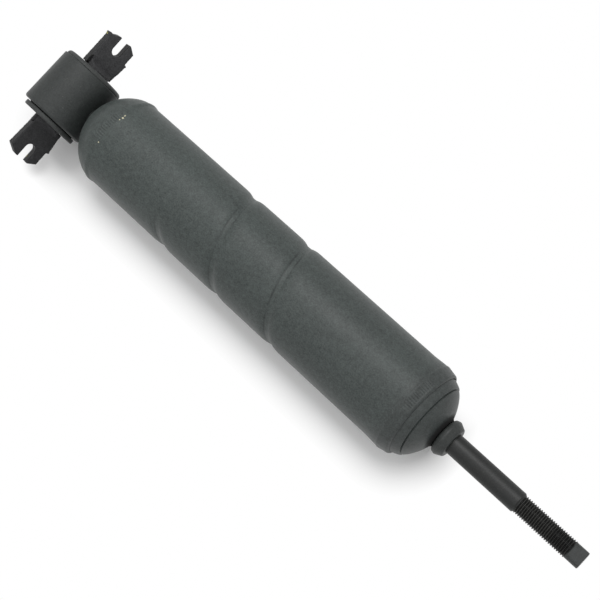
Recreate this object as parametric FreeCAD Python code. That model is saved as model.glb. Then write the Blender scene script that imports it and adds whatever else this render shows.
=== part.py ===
import FreeCAD, Part
import math
import os

# Telescopic hydraulic shock absorber, lying along X with the rod pushed in. Millimetres.
# The origin is the centre of the eye, +X runs to the stem, +Y runs along the bar pin, +Z is up.

Vector = FreeCAD.Vector
ORIGIN = Vector(0, 0, 0)
ALONG_X = Vector(1, 0, 0)
ALONG_Y = Vector(0, 1, 0)

# Clearances
RUNNING = 0.05
PLATE_PLAY = 0.15
SPRING_GAP = 0.05
SEAT_GAP = 0.2

# Broken edges of the turned inner pieces
BREAK = 0.5

# Reservoir tube with its rolled spiral groove
BODY_OD = 50.8
BODY_WALL = 1.6
TUBE_LENGTH = 216.9
FLARE_LENGTH = 14.4
FLARE_RISE = 0.4
BAND_LENGTH = 6.9
BAND_RISE = 0.7
BAND_FALL = 1.0
GROOVE_PITCH = 39.5
GROOVE_DEPTH = 1.2
GROOVE_TOOL_R = 5.0
GROOVE_ALONG = 77.3
GROOVE_FROM_DEG = -195.0
GROOVE_TO_DEG = 545.0
GROOVE_FADE_DEG = 50.0

# Pressed domes
BASE_DOME_HEIGHT = 21.3
BASE_KNUCKLE = 14.0
BASE_RIM_STEP = 0.1
SEAM_RISE = 0.55
SEAM_RUN = 2.2
BASE_SHEET = 2.2
BASE_TIP_R = 3.0
BASE_SPIGOT = 5.0
LIP_LENGTH = 3.6
HEAD_SKIRT = 10.0
HEAD_SHOULDER_REACH = 19.0
HEAD_SHOULDER_KNUCKLE = 16.0
HEAD_DOME_REACH = 17.2
HEAD_DOME_KNUCKLE = 14.0
HEAD_STEP_RISE = 8.3
HEAD_SHEET = 2.0
HEAD_MOUTH_R = 8.9

# Eye, bushing and bar pin
EYE_OD = 38.4
EYE_WALL = 4.0
EYE_WIDTH = 32.2
EYE_EDGE = 1.0
EYE_WELD_R = 9.0
BUSHING_FLANGE_OD = 34.0
BUSHING_LENGTH = 38.2
BUSHING_GAP = 0.8
BUSHING_NECK = 0.5
PIN_OD = 16.5
PIN_LENGTH = 84.4
PIN_TWIST_DEG = 49.0
FORK_WIDTH = 17.0
FORK_THICK = 7.0
FORK_RAMP = 2.8
FORK_CHAMFER_ALONG = 3.0
FORK_CHAMFER_ACROSS = 4.2
FORK_EDGE = 0.8
SLOT_WIDTH = 6.2
SLOT_DEPTH = 11.2

# Pressure tube, rod and stem
BORE = 30.0
PRESSURE_WALL = 1.5
ROD_OD = 12.7
ROD_SPIGOT_OD = 8.0
COLLAR_GAP = 1.7
COLLAR_THICK = 6.6
COLLAR_OD = 20.2
COLLAR_LAND_RISE = 0.2
SHANK_OD = 11.1
SHANK_LENGTH = 39.8
SHANK_TAPER = 3.8
THREAD_OD = 9.97
THREAD_LENGTH = 29.4
TANG_LENGTH = 7.8
TANG_WIDTH = 9.5
TANG_THICK = 6.35

# Base valve
FOOT_HEIGHT = 5.0
FOOT_WALL = 2.5
DECK_THICK = 4.0
BASE_RIM_HEIGHT = 3.0
BASE_LIFT = 1.0
BASE_PLATE_THICK = 0.8
BASE_SPRING_LENGTH = 5.7
STUD_OD = 5.9
STUD_HEAD_OD = 11.0
STUD_HEAD_THICK = 2.0
BASE_NUT_ACROSS = 8.0
BASE_NUT_HEIGHT = 3.0
BASE_NUT_FLANGE_OD = 12.0
BASE_NUT_FLANGE_THICK = 0.8

# Piston and its valves
BUMP_GAP = 4.6
PISTON_LENGTH = 14.0
PISTON_SHY = 0.2
RING_WIDTH = 3.9
RING_DEPTH = 1.65
INTAKE_HOLE_R = 1.3
REBOUND_HOLE_R = 1.1
INTAKE_PLATE_THICK = 0.7
INTAKE_SPACE = 3.6
REBOUND_DISC_THICK = 1.0
REBOUND_SPRING_LENGTH = 5.8
STOP_WASHER_THICK = 1.4
NUT_ACROSS = 13.0
NUT_HEIGHT = 6.0
NUT_FLANGE_OD = 18.0
NUT_FLANGE_THICK = 1.6
SNAP_RISE = 4.6
SNAP_WIDTH = 1.4
SNAP_DEPTH = 0.7
STOP_LENGTH = 7.0
STOP_OD = 22.0

# Rod guide and seal
GUIDE_BELOW_SEAT = 4.0
GUIDE_BODY = 9.0
GUIDE_SPIGOT = 9.0
BUSH_WALL = 1.6
GASKET_SECTION = 2.4
SEAL_SPRING_LENGTH = 7.0
SEAL_WASHER_THICK = 1.2
SEAL_OD = 24.0
SEAL_NOSE_OD = 17.4
SEAL_NOSE_SHY = 0.65

# Radii that follow from those above
BODY_R = BODY_OD / 2
BODY_INNER_R = BODY_R - BODY_WALL
BASE_R = BODY_R + BASE_RIM_STEP
BASE_INNER_R = BODY_INNER_R - BASE_SHEET / 2
HEAD_INNER_R = BODY_INNER_R - HEAD_SHEET
EYE_R = EYE_OD / 2
EYE_BORE_R = EYE_R - EYE_WALL
PIN_R = PIN_OD / 2
BORE_R = BORE / 2
ROD_R = ROD_OD / 2
SPIGOT_R = ROD_SPIGOT_OD / 2
SHANK_R = SHANK_OD / 2
COLLAR_LAND_R = SHANK_R + COLLAR_LAND_RISE
THREAD_R = THREAD_OD / 2
STUD_R = STUD_OD / 2
FOOT_R = BORE_R + PRESSURE_WALL + 0.5
PISTON_R = BORE_R - PISTON_SHY
PISTON_HUB_R = SPIGOT_R + 1.6
RING_OUTER_R = BORE_R - RUNNING
RING_INNER_R = RING_OUTER_R - RING_DEPTH
INTAKE_CIRCLE = RING_INNER_R - INTAKE_HOLE_R - 1.0
REBOUND_CIRCLE = INTAKE_CIRCLE - INTAKE_HOLE_R - REBOUND_HOLE_R - 1.0

os.makedirs("parts", exist_ok=True)


def profile(*corners):
    """Edges of a closed outline through (x, r) corners; a third number rounds its corner."""
    edges = []
    joins = []
    places = [Vector(corner[0], 0, corner[1]) for corner in corners]
    for i, corner in enumerate(corners):
        here = places[i]
        if len(corner) == 2:
            joins.append((here, here))
            continue
        back = (places[i - 1] - here).normalize()
        on = (places[(i + 1) % len(places)] - here).normalize()
        half = back.getAngle(on) / 2
        bisector = (back + on).normalize()
        reach = corner[2] / math.tan(half)
        middle = here + bisector * (corner[2] / math.sin(half) - corner[2])
        joins.append((here + back * reach, here + on * reach))
        edges.append(Part.Arc(joins[i][0], middle, joins[i][1]).toShape())
    for i, join in enumerate(joins):
        if joins[i - 1][1].distanceToPoint(join[0]) > 1e-6:
            edges.append(Part.makeLine(joins[i - 1][1], join[0]))
    return edges


def path(*corners):
    """Edges of an open line through (x, r) corners."""
    places = [Vector(x, 0, r) for x, r in corners]
    return [Part.makeLine(a, b) for a, b in zip(places, places[1:])]


def dome_shape(reach, radius, knuckle):
    """Crown radius of a pressed dome, and the radius where its crown meets its knuckle."""
    height = abs(reach)
    crown = (height**2 + (radius - knuckle) ** 2 - knuckle**2) / (2 * (height - knuckle))
    return crown, crown * (radius - knuckle) / (crown - knuckle)


def dome_x(centre, reach, radius, knuckle, r):
    """X of a pressed dome's wall at radius r; reach is its height along X, with a sign."""
    crown, join = dome_shape(reach, radius, knuckle)
    if r > join:
        depth = math.sqrt(knuckle**2 - (r - radius + knuckle) ** 2)
    else:
        depth = abs(reach) - crown + math.sqrt(crown**2 - r**2)
    return centre + math.copysign(depth, reach)


def dome_r(depth, reach, radius, knuckle):
    """Radius of a pressed dome's wall at a depth along X from its rim."""
    crown, join = dome_shape(reach, radius, knuckle)
    if depth < math.sqrt(knuckle**2 - (join - radius + knuckle) ** 2):
        return radius - knuckle + math.sqrt(knuckle**2 - depth**2)
    return math.sqrt(crown**2 - (depth - abs(reach) + crown) ** 2)


def dome_arc(centre, reach, radius, knuckle, r_from, r_to):
    """Knuckle and crown arcs of a pressed dome's wall between two radii."""
    low, high = sorted([r_from, r_to])
    join = dome_shape(reach, radius, knuckle)[1]
    stops = [low, join, high] if low < join < high else [low, high]
    edges = []
    for start, end in zip(stops, stops[1:]):
        radii = [start, (start + end) / 2, end]
        spots = [Vector(dome_x(centre, reach, radius, knuckle, r), 0, r) for r in radii]
        edges.append(Part.Arc(*spots).toShape())
    return edges


def turned(edges, sweep=360):
    """Solid of an outline turned about X."""
    wire = Part.Wire(Part.__sortEdges__(edges))
    return Part.Face(wire).revolve(ORIGIN, ALONG_X, sweep)


def tube(x_from, x_to, r_inner, r_outer):
    """Plain ring about X; an inner radius of 0 makes a disc."""
    return turned(profile((x_from, r_inner), (x_to, r_inner), (x_to, r_outer), (x_from, r_outer)))


def drilled(shape, count, circle, radius, x_from, x_to):
    """Shape with a circle of round holes along X."""
    for i in range(count):
        angle = 2 * math.pi * i / count
        spot = Vector(x_from, circle * math.cos(angle), circle * math.sin(angle))
        shape = shape.cut(Part.makeCylinder(radius, x_to - x_from, spot, ALONG_X))
    return shape


def hexagon(across, x_from, x_to):
    """Hexagonal bar along X."""
    reach = across / math.sqrt(3)
    spots = [math.radians(60 * i) for i in range(7)]
    ring = [Vector(x_from, reach * math.cos(a), reach * math.sin(a)) for a in spots]
    return Part.Face(Part.makePolygon(ring)).extrude(Vector(x_to - x_from, 0, 0))


def about_x(shape):
    """Shape made about Z laid along X, so that its X becomes Y and its Y becomes Z."""
    shape.rotate(ORIGIN, Vector(1, 1, 1), 120)
    return shape


def coil(x_from, x_to, radius, wire, turns):
    """Square-wire spring between two planes."""
    rise = x_to - x_from - wire
    helix = Part.makeHelix(rise / turns, rise, radius)
    half = wire / 2
    ends = [(-half, -half), (half, -half), (half, half), (-half, half), (-half, -half)]
    section = Part.makePolygon([Vector(radius + a, 0, b) for a, b in ends])
    spring = about_x(Part.Wire(helix).makePipeShell([section], True, True))
    spring.translate(Vector(x_from + half, 0, 0))
    return spring


def star_spring(x_seat, x_tip, r_inner, r_mid, r_tip, sheet):
    """Three-finger spring: a flat ring at x_seat with fingers that slope to x_tip."""
    way = math.copysign(sheet, x_tip - x_seat)
    blank = turned(
        profile(
            (x_seat, r_inner),
            (x_seat + way, r_inner),
            (x_seat + way, r_mid),
            (x_tip, r_tip),
            (x_tip - way, r_tip),
            (x_seat, r_mid),
        )
    )
    low = min(x_seat, x_tip) - 1
    high = max(x_seat, x_tip) + 1
    for i in range(3):
        gap = turned(profile((low, r_mid), (high, r_mid), (high, r_tip + 1), (low, r_tip + 1)), 80)
        gap.rotate(ORIGIN, ALONG_X, 120 * i)
        blank = blank.cut(gap)
    return blank


def groove_tool(radius, start_deg, end_deg, fade):
    """Round bar wound along the spiral; fade raises it out of the tube wall at one end."""
    turn = end_deg - start_deg
    rise = GROOVE_PITCH * turn / 360
    path_r = BODY_R - GROOVE_DEPTH + GROOVE_TOOL_R
    flare = math.degrees(math.atan(1.25 * GROOVE_DEPTH / rise)) if fade else 0
    helix = Part.makeHelix(GROOVE_PITCH, rise, path_r, flare)
    slope = Vector(0, 2 * math.pi * path_r, GROOVE_PITCH)
    section = Part.Wire(Part.makeCircle(radius, Vector(path_r, 0, 0), slope))
    bar = Part.Wire(helix).makePipeShell([section], True, True)
    if fade < 0:
        bar.rotate(ORIGIN, ALONG_X, 180)
        bar.rotate(ORIGIN, Vector(0, 0, 1), end_deg)
        bar.translate(Vector(0, 0, GROOVE_PITCH * end_deg / 360))
    else:
        bar.rotate(ORIGIN, Vector(0, 0, 1), start_deg)
        bar.translate(Vector(0, 0, GROOVE_PITCH * start_deg / 360))
    bar = about_x(bar)
    bar.translate(Vector(GROOVE_CROSSING, 0, 0))
    return bar


def groove_tools(radius):
    """The spiral's full-depth stretch and its two fading ends."""
    return [
        groove_tool(radius, GROOVE_FROM_DEG, GROOVE_TO_DEG, 0),
        groove_tool(radius, GROOVE_FROM_DEG - GROOVE_FADE_DEG, GROOVE_FROM_DEG, -1),
        groove_tool(radius, GROOVE_TO_DEG, GROOVE_TO_DEG + GROOVE_FADE_DEG, 1),
    ]


def save(name, shape):
    """Writes one piece; a shape that holds a single solid is written as that solid."""
    shape = shape.removeSplitter()
    if len(shape.Solids) == 1:
        shape = shape.Solids[0]
    shape.exportStep("parts/" + name + ".step")


# Places along X, from the eye to the tip of the stem
TUBE_START = EYE_R + SEAT_GAP + BASE_DOME_HEIGHT
TUBE_END = TUBE_START + TUBE_LENGTH
BASE_SKIN = (TUBE_START, -BASE_DOME_HEIGHT, BASE_R, BASE_KNUCKLE)
BASE_INSIDE = (TUBE_START, BASE_SHEET - BASE_DOME_HEIGHT, BASE_INNER_R, BASE_KNUCKLE - BASE_SHEET)
HEAD_SEAT = TUBE_END - LIP_LENGTH
HEAD_STEP = HEAD_SEAT + HEAD_STEP_RISE
HEAD_SHOULDER = (HEAD_SEAT, HEAD_SHOULDER_REACH, BODY_INNER_R, HEAD_SHOULDER_KNUCKLE)
HEAD_DOME = (HEAD_SEAT, HEAD_DOME_REACH, BODY_INNER_R, HEAD_DOME_KNUCKLE)
HEAD_INSIDE = (HEAD_SEAT, HEAD_DOME_REACH - HEAD_SHEET, HEAD_INNER_R, HEAD_DOME_KNUCKLE - HEAD_SHEET)
HEAD_MOUTH = dome_x(*HEAD_DOME, HEAD_MOUTH_R)
FOOT_X = dome_x(*BASE_INSIDE, FOOT_R) + RUNNING
DECK_BELOW = FOOT_X + FOOT_HEIGHT
DECK_ABOVE = DECK_BELOW + DECK_THICK
BASE_RIM_TOP = DECK_ABOVE + BASE_RIM_HEIGHT
STUD_HEAD_X = BASE_RIM_TOP + 2 * SEAT_GAP
STUD_TOP = STUD_HEAD_X + STUD_HEAD_THICK
BASE_NUT_TOP = DECK_BELOW - BASE_PLATE_THICK - BASE_SPRING_LENGTH
BASE_NUT_START = BASE_NUT_TOP - BASE_NUT_HEIGHT
NUT_START = STUD_TOP + BUMP_GAP
NUT_FLANGE_X = NUT_START + NUT_HEIGHT
NUT_TOP = NUT_FLANGE_X + NUT_FLANGE_THICK
REBOUND_X = NUT_TOP + REBOUND_SPRING_LENGTH
PISTON_START = REBOUND_X + REBOUND_DISC_THICK
PISTON_TOP = PISTON_START + PISTON_LENGTH
STOP_WASHER_X = PISTON_TOP + INTAKE_SPACE
ROD_SHOULDER = STOP_WASHER_X + STOP_WASHER_THICK
SNAP_START = ROD_SHOULDER + SNAP_RISE
STOP_START = SNAP_START + SNAP_WIDTH
GUIDE_TOP = HEAD_SEAT - GUIDE_BELOW_SEAT
GUIDE_SHOULDER = GUIDE_TOP - GUIDE_BODY
GUIDE_START = GUIDE_SHOULDER - GUIDE_SPIGOT
SEAL_WASHER_X = GUIDE_TOP + SEAL_SPRING_LENGTH
SEAL_X = SEAL_WASHER_X + SEAL_WASHER_THICK
SEAL_TOP = dome_x(*HEAD_INSIDE, SEAL_OD / 2) - SEAT_GAP
COLLAR_SEAT = HEAD_MOUTH + COLLAR_GAP
COLLAR_TOP = COLLAR_SEAT + COLLAR_THICK
SHANK_END = COLLAR_TOP + SHANK_LENGTH
THREAD_START = SHANK_END + SHANK_TAPER
THREAD_END = THREAD_START + THREAD_LENGTH
STEM_TIP = THREAD_END + TANG_LENGTH
GROOVE_CROSSING = TUBE_START + GROOVE_ALONG

# Base cap: a pressed dome with a spigot that locates the reservoir tube
base_tip = dome_x(*BASE_SKIN, BASE_TIP_R)
base_tip_inside = dome_x(*BASE_INSIDE, BASE_TIP_R)
seam_r = BODY_R + SEAM_RISE
seam_foot_r = dome_r(SEAM_RUN, *BASE_SKIN[1:])
base_arc = (
    path((TUBE_START, seam_r), (TUBE_START - SEAM_RUN, seam_foot_r))
    + dome_arc(*BASE_SKIN, seam_foot_r, BASE_TIP_R)
    + path((base_tip, BASE_TIP_R), (base_tip, 0))
)
base_cap = turned(
    base_arc
    + path((base_tip, 0), (base_tip_inside, 0), (base_tip_inside, BASE_TIP_R))
    + dome_arc(*BASE_INSIDE, BASE_TIP_R, BASE_INNER_R)
    + path(
        (TUBE_START, BASE_INNER_R),
        (TUBE_START + BASE_SPIGOT, BASE_INNER_R),
        (TUBE_START + BASE_SPIGOT, BODY_INNER_R),
        (TUBE_START, BODY_INNER_R),
        (TUBE_START, seam_r),
    )
)
save("base_cap", base_cap)
base_solid = turned(base_arc + path((base_tip, 0), (TUBE_START, 0), (TUBE_START, seam_r)))

# Eye ring: a cut tube welded to the tip of the base cap
eye_ring = Part.makeCylinder(EYE_R, EYE_WIDTH, Vector(0, -EYE_WIDTH / 2, 0), ALONG_Y)
eye_ring = eye_ring.makeFillet(EYE_EDGE, eye_ring.Edges)
eye_weld = tube(EYE_R / 2, base_tip + 3, 0, EYE_WELD_R)
eye_ring = eye_ring.fuse(eye_weld)
eye_ring = eye_ring.cut(base_solid)
eye_bore = Part.makeCylinder(EYE_BORE_R, EYE_WIDTH + 2, Vector(0, -EYE_WIDTH / 2 - 1, 0), ALONG_Y)
save("eye_ring", eye_ring.cut(eye_bore))

# Eye bushing: rubber moulded to fill the bore, with a flange that stands off each end of the ring
bushing_half = BUSHING_LENGTH / 2
flange_r = BUSHING_FLANGE_OD / 2
flange_y = EYE_WIDTH / 2 + BUSHING_GAP
flange_edge = (bushing_half - flange_y) / 3
bushing = turned(
    profile(
        (-bushing_half, PIN_R + RUNNING),
        (bushing_half, PIN_R + RUNNING),
        (bushing_half, flange_r, flange_edge),
        (flange_y, flange_r, flange_edge),
        (flange_y, EYE_BORE_R - BUSHING_NECK),
        (EYE_WIDTH / 2, EYE_BORE_R),
        (-EYE_WIDTH / 2, EYE_BORE_R),
        (-flange_y, EYE_BORE_R - BUSHING_NECK),
        (-flange_y, flange_r, flange_edge),
        (-bushing_half, flange_r, flange_edge),
    )
)
bushing.rotate(ORIGIN, Vector(0, 0, 1), 90)
save("eye_bushing", bushing)

# Bar pin: forged round in the bushing, flattened outside it, with an open bolt slot at each end
half_pin = PIN_LENGTH / 2
half_fork = FORK_WIDTH / 2
half_thick = FORK_THICK / 2
ramp_from = bushing_half + 3 * SEAT_GAP
ramp_to = ramp_from + FORK_RAMP
slot_r = SLOT_WIDTH / 2
slot_centre = half_pin - SLOT_DEPTH + slot_r
ramp_rise = (PIN_R - half_thick) / 2
ramp_corners = [
    (ramp_from - FORK_RAMP / 2, PIN_R + ramp_rise),
    (ramp_to + FORK_RAMP / 2, half_thick - ramp_rise),
]
ramp_half = ramp_corners + [(y, -z) for y, z in reversed(ramp_corners)]
ramp_outline = ramp_half + [(-y, -z) for y, z in ramp_half] + ramp_half[:1]
ramp_wire = Part.makePolygon([Vector(-PIN_OD, y, z) for y, z in ramp_outline])
ramps = Part.Face(ramp_wire).extrude(Vector(2 * PIN_OD, 0, 0))
barrel_to = ramp_to + FORK_RAMP / 2
barrel = Part.makeCylinder(PIN_R, 2 * barrel_to, Vector(0, -barrel_to, 0), ALONG_Y)
bar_pin = barrel.common(ramps)
fork_half = [
    (0, PIN_R - FORK_EDGE),
    (ramp_from, PIN_R - FORK_EDGE),
    (ramp_from + FORK_EDGE, half_fork),
    (half_pin - FORK_CHAMFER_ALONG, half_fork),
    (half_pin, half_fork - FORK_CHAMFER_ACROSS),
]
fork_outline = fork_half + [(y, -x) for y, x in reversed(fork_half)] + fork_half[:1]
fork_wire = Part.makePolygon([Vector(x, y, -half_thick) for y, x in fork_outline])
fork = Part.Face(fork_wire).extrude(Vector(0, 0, FORK_THICK))
fork_edges = []
for edge in fork.Edges:
    spot = edge.CenterOfMass
    if abs(edge.BoundBox.ZLength) < 1e-6 and abs(spot.x) > half_fork / 2 and spot.y > ramp_to:
        fork_edges.append(edge)
fork = fork.makeFillet(FORK_EDGE, fork_edges)
slot = Part.makeCylinder(slot_r, FORK_THICK, Vector(0, slot_centre, -half_thick))
mouth = Part.makeBox(SLOT_WIDTH, SLOT_DEPTH, FORK_THICK, Vector(-slot_r, slot_centre, -half_thick))
fork = fork.cut(slot.fuse(mouth))
bar_pin = bar_pin.fuse(fork).fuse(fork.mirror(ORIGIN, ALONG_Y))
bar_pin.rotate(ORIGIN, ALONG_Y, PIN_TWIST_DEG)
save("bar_pin", bar_pin)

# Head cap: a pressed dome with a stepped shoulder, its skirt inside the reservoir tube
step_outer_r = dome_r(HEAD_STEP_RISE, *HEAD_SHOULDER[1:])
step_inner_r = dome_r(HEAD_STEP_RISE, *HEAD_DOME[1:])
skirt_x = HEAD_SEAT - HEAD_SKIRT
head_cap = turned(
    dome_arc(*HEAD_SHOULDER, BODY_INNER_R, step_outer_r)
    + path((HEAD_STEP, step_outer_r), (HEAD_STEP, step_inner_r))
    + dome_arc(*HEAD_DOME, step_inner_r, HEAD_MOUTH_R)
    + path((HEAD_MOUTH, HEAD_MOUTH_R), (dome_x(*HEAD_INSIDE, HEAD_MOUTH_R), HEAD_MOUTH_R))
    + dome_arc(*HEAD_INSIDE, HEAD_MOUTH_R, HEAD_INNER_R)
    + path(
        (HEAD_SEAT, HEAD_INNER_R),
        (skirt_x, HEAD_INNER_R),
        (skirt_x, BODY_INNER_R),
        (HEAD_SEAT, BODY_INNER_R),
    )
)
save("head_cap", head_cap)

# Reservoir tube: the end is rolled over the head cap, and a spiral groove is rolled into the wall,
# so that the groove outside stands as a ridge inside and the sheet keeps its thickness
shoulder_inside = turned(
    dome_arc(*HEAD_SHOULDER, BODY_INNER_R, step_outer_r)
    + path(
        (HEAD_STEP, step_outer_r),
        (HEAD_STEP, 0),
        (TUBE_START - 1, 0),
        (TUBE_START - 1, BODY_INNER_R),
        (HEAD_SEAT, BODY_INNER_R),
    )
)
lip_r = BODY_INNER_R + BODY_WALL / 3
tube_skin = turned(
    profile(
        (TUBE_START, 0),
        (TUBE_START, seam_r),
        (TUBE_START + SEAM_RUN, BODY_R),
        (TUBE_END - FLARE_LENGTH, BODY_R),
        (TUBE_END - BAND_LENGTH, BODY_R + FLARE_RISE),
        (TUBE_END - BAND_LENGTH + BAND_RISE, BODY_R + BAND_RISE, BAND_RISE),
        (TUBE_END - BAND_RISE, BODY_R + BAND_RISE - BAND_FALL, BAND_RISE),
        (TUBE_END, lip_r),
        (TUBE_END, 0),
    )
)
for tool in groove_tools(GROOVE_TOOL_R):
    tube_skin = tube_skin.cut(tool)
for tool in groove_tools(GROOVE_TOOL_R + BODY_WALL):
    shoulder_inside = shoulder_inside.cut(tool)
save("reservoir_tube", tube_skin.cut(shoulder_inside))

# Pressure tube: the honed bore that the piston runs in, held between base valve and rod guide
save("pressure_tube", tube(DECK_ABOVE, GUIDE_SHOULDER, BORE_R, BORE_R + PRESSURE_WALL))

# Base valve body: sits in the base cap on a slotted foot and carries the pressure tube
plate_r = BORE_R - 1.6
boss_r = (plate_r + STUD_R) / 2 - 0.6
foot_inner_r = FOOT_R - FOOT_WALL
base_body = turned(
    profile(
        (FOOT_X, foot_inner_r),
        (DECK_BELOW, foot_inner_r),
        (DECK_BELOW, STUD_R),
        (DECK_ABOVE + BASE_PLATE_THICK + BASE_LIFT, STUD_R),
        (DECK_ABOVE + BASE_PLATE_THICK + BASE_LIFT, boss_r),
        (DECK_ABOVE, boss_r),
        (DECK_ABOVE, plate_r + PLATE_PLAY),
        (BASE_RIM_TOP, plate_r + PLATE_PLAY),
        (BASE_RIM_TOP, BORE_R),
        (DECK_ABOVE, BORE_R),
        (DECK_ABOVE, FOOT_R),
        (FOOT_X, FOOT_R),
    )
)
base_body = drilled(base_body, 6, (boss_r + plate_r) / 2, 1.6, DECK_BELOW - 1, DECK_ABOVE + 1)
base_body = drilled(base_body, 4, (STUD_R + boss_r) / 2, 1.2, DECK_BELOW - 1, BASE_RIM_TOP)
for i in range(2):
    window = Part.makeBox(DECK_BELOW - FOOT_X - 1, 2 * FOOT_R + 2, 6, Vector(FOOT_X - 1, -FOOT_R - 1, -3))
    window.rotate(ORIGIN, ALONG_X, 90 * i)
    base_body = base_body.cut(window)
save("base_valve_body", base_body)

# Base valve stud, its flanged nut and the plates and springs that they hold
stud = turned(
    profile(
        (BASE_NUT_START - 0.6, 0),
        (STUD_TOP, 0),
        (STUD_TOP, STUD_HEAD_OD / 2 - BREAK),
        (STUD_TOP - BREAK, STUD_HEAD_OD / 2),
        (STUD_HEAD_X, STUD_HEAD_OD / 2),
        (STUD_HEAD_X, STUD_R),
        (BASE_NUT_START - 0.6, STUD_R),
    )
)
save("base_valve_stud", stud)
flange_x = BASE_NUT_TOP - BASE_NUT_FLANGE_THICK
base_nut = hexagon(BASE_NUT_ACROSS, BASE_NUT_START, flange_x)
base_nut = base_nut.fuse(tube(flange_x, BASE_NUT_TOP, 0, BASE_NUT_FLANGE_OD / 2))
save("base_valve_nut", base_nut.cut(tube(BASE_NUT_START - 1, BASE_NUT_TOP + 1, 0, STUD_R)))
plate_top = DECK_ABOVE + BASE_PLATE_THICK
save("base_intake_plate", tube(DECK_ABOVE, plate_top, boss_r + PLATE_PLAY, plate_r))
finger_r = (boss_r + plate_r) / 2 + 1.0
save(
    "base_intake_spring",
    star_spring(STUD_HEAD_X, plate_top + SPRING_GAP, STUD_R, STUD_HEAD_OD / 2, finger_r, 0.4),
)
disc_x = DECK_BELOW - BASE_PLATE_THICK
save("compression_disc", tube(disc_x, DECK_BELOW, STUD_R + PLATE_PLAY, boss_r))
spring_r = (STUD_R + BASE_NUT_FLANGE_OD / 2) / 2
save("compression_spring", coil(BASE_NUT_TOP, disc_x - SPRING_GAP, spring_r, 1.0, 3.0))

# Piston: sintered, with an outer circle of intake holes and an inner circle of rebound holes
ring_x = PISTON_START + (PISTON_LENGTH - RING_WIDTH) / 2
piston = turned(
    profile(
        (NUT_TOP, SPIGOT_R),
        (STOP_WASHER_X, SPIGOT_R),
        (STOP_WASHER_X, PISTON_HUB_R),
        (PISTON_TOP, PISTON_HUB_R),
        (PISTON_TOP, PISTON_R - BREAK),
        (PISTON_TOP - BREAK, PISTON_R),
        (ring_x + RING_WIDTH + RUNNING, PISTON_R),
        (ring_x + RING_WIDTH + RUNNING, RING_INNER_R - 2 * RUNNING),
        (ring_x - RUNNING, RING_INNER_R - 2 * RUNNING),
        (ring_x - RUNNING, PISTON_R),
        (PISTON_START + BREAK, PISTON_R),
        (PISTON_START, PISTON_R - BREAK),
        (PISTON_START, PISTON_HUB_R),
        (NUT_TOP, PISTON_HUB_R),
    )
)
piston = drilled(piston, 8, INTAKE_CIRCLE, INTAKE_HOLE_R, PISTON_START - 1, PISTON_TOP + 1)
piston = drilled(piston, 6, REBOUND_CIRCLE, REBOUND_HOLE_R, PISTON_START - 1, PISTON_TOP + 1)
save("piston", piston)
save("piston_ring", tube(ring_x, ring_x + RING_WIDTH, RING_INNER_R, RING_OUTER_R))

# Piston valves: the intake plate on top under a finger spring, the rebound disc below on a coil spring
intake_top = PISTON_TOP + INTAKE_PLATE_THICK
intake_inner_r = INTAKE_CIRCLE - INTAKE_HOLE_R - 0.5
intake_outer_r = INTAKE_CIRCLE + INTAKE_HOLE_R + 0.9
save("piston_intake_plate", tube(PISTON_TOP, intake_top, intake_inner_r, intake_outer_r))
save(
    "piston_intake_spring",
    star_spring(
        STOP_WASHER_X,
        intake_top + SPRING_GAP,
        PISTON_HUB_R,
        PISTON_HUB_R + 2.4,
        INTAKE_CIRCLE + 0.4,
        0.4,
    ),
)
save("intake_stop_washer", tube(STOP_WASHER_X, ROD_SHOULDER, SPIGOT_R, PISTON_HUB_R + 3.4))
rebound_r = REBOUND_CIRCLE + REBOUND_HOLE_R + 0.7
save("rebound_disc", tube(REBOUND_X, PISTON_START, PISTON_HUB_R + PLATE_PLAY, rebound_r))
rebound_spring_r = (PISTON_HUB_R + NUT_FLANGE_OD / 2) / 2
save("rebound_spring", coil(NUT_TOP, REBOUND_X - SPRING_GAP, rebound_spring_r, 1.2, 3.0))
piston_nut = hexagon(NUT_ACROSS, NUT_START, NUT_FLANGE_X)
piston_nut = piston_nut.fuse(tube(NUT_FLANGE_X, NUT_TOP, 0, NUT_FLANGE_OD / 2))
save("piston_nut", piston_nut.cut(tube(NUT_START - 1, NUT_TOP + 1, 0, SPIGOT_R)))

# Piston rod: ground bar, reduced for the piston at one end and for the stem at the other
rod = turned(
    profile(
        (NUT_START + 1, 0),
        (STEM_TIP, 0),
        (STEM_TIP, TANG_WIDTH / 2, 0.8),
        (THREAD_END, TANG_WIDTH / 2),
        (THREAD_END, THREAD_R, 0.4),
        (THREAD_START, THREAD_R),
        (SHANK_END, SHANK_R),
        (COLLAR_TOP, SHANK_R),
        (COLLAR_TOP, COLLAR_LAND_R),
        (COLLAR_SEAT, COLLAR_LAND_R),
        (COLLAR_SEAT, ROD_R),
        (STOP_START, ROD_R),
        (STOP_START, ROD_R - SNAP_DEPTH),
        (SNAP_START, ROD_R - SNAP_DEPTH),
        (SNAP_START, ROD_R),
        (ROD_SHOULDER, ROD_R),
        (ROD_SHOULDER, SPIGOT_R),
        (NUT_START + 1 + BREAK, SPIGOT_R),
        (NUT_START + 1, SPIGOT_R - BREAK),
    )
)
for side in (1, -1):
    flat = Part.makeBox(STEM_TIP, BODY_R, BODY_R, Vector(THREAD_END, -BODY_R / 2, TANG_THICK / 2))
    if side < 0:
        flat = flat.mirror(ORIGIN, Vector(0, 0, 1))
    rod = rod.cut(flat)
save("piston_rod", rod)

# Stem collar: a rounded seat for the lower washer, pressed on to the rod's shoulder
collar = turned(
    profile(
        (COLLAR_SEAT, COLLAR_LAND_R),
        (COLLAR_TOP, COLLAR_LAND_R),
        (COLLAR_TOP, COLLAR_OD / 2 - 2.0, 1.2),
        (COLLAR_SEAT + COLLAR_THICK * 0.4, COLLAR_OD / 2, 1.6),
        (COLLAR_SEAT, COLLAR_OD / 2 - 0.8, 1.4),
    )
)
save("stem_collar", collar)

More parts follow.
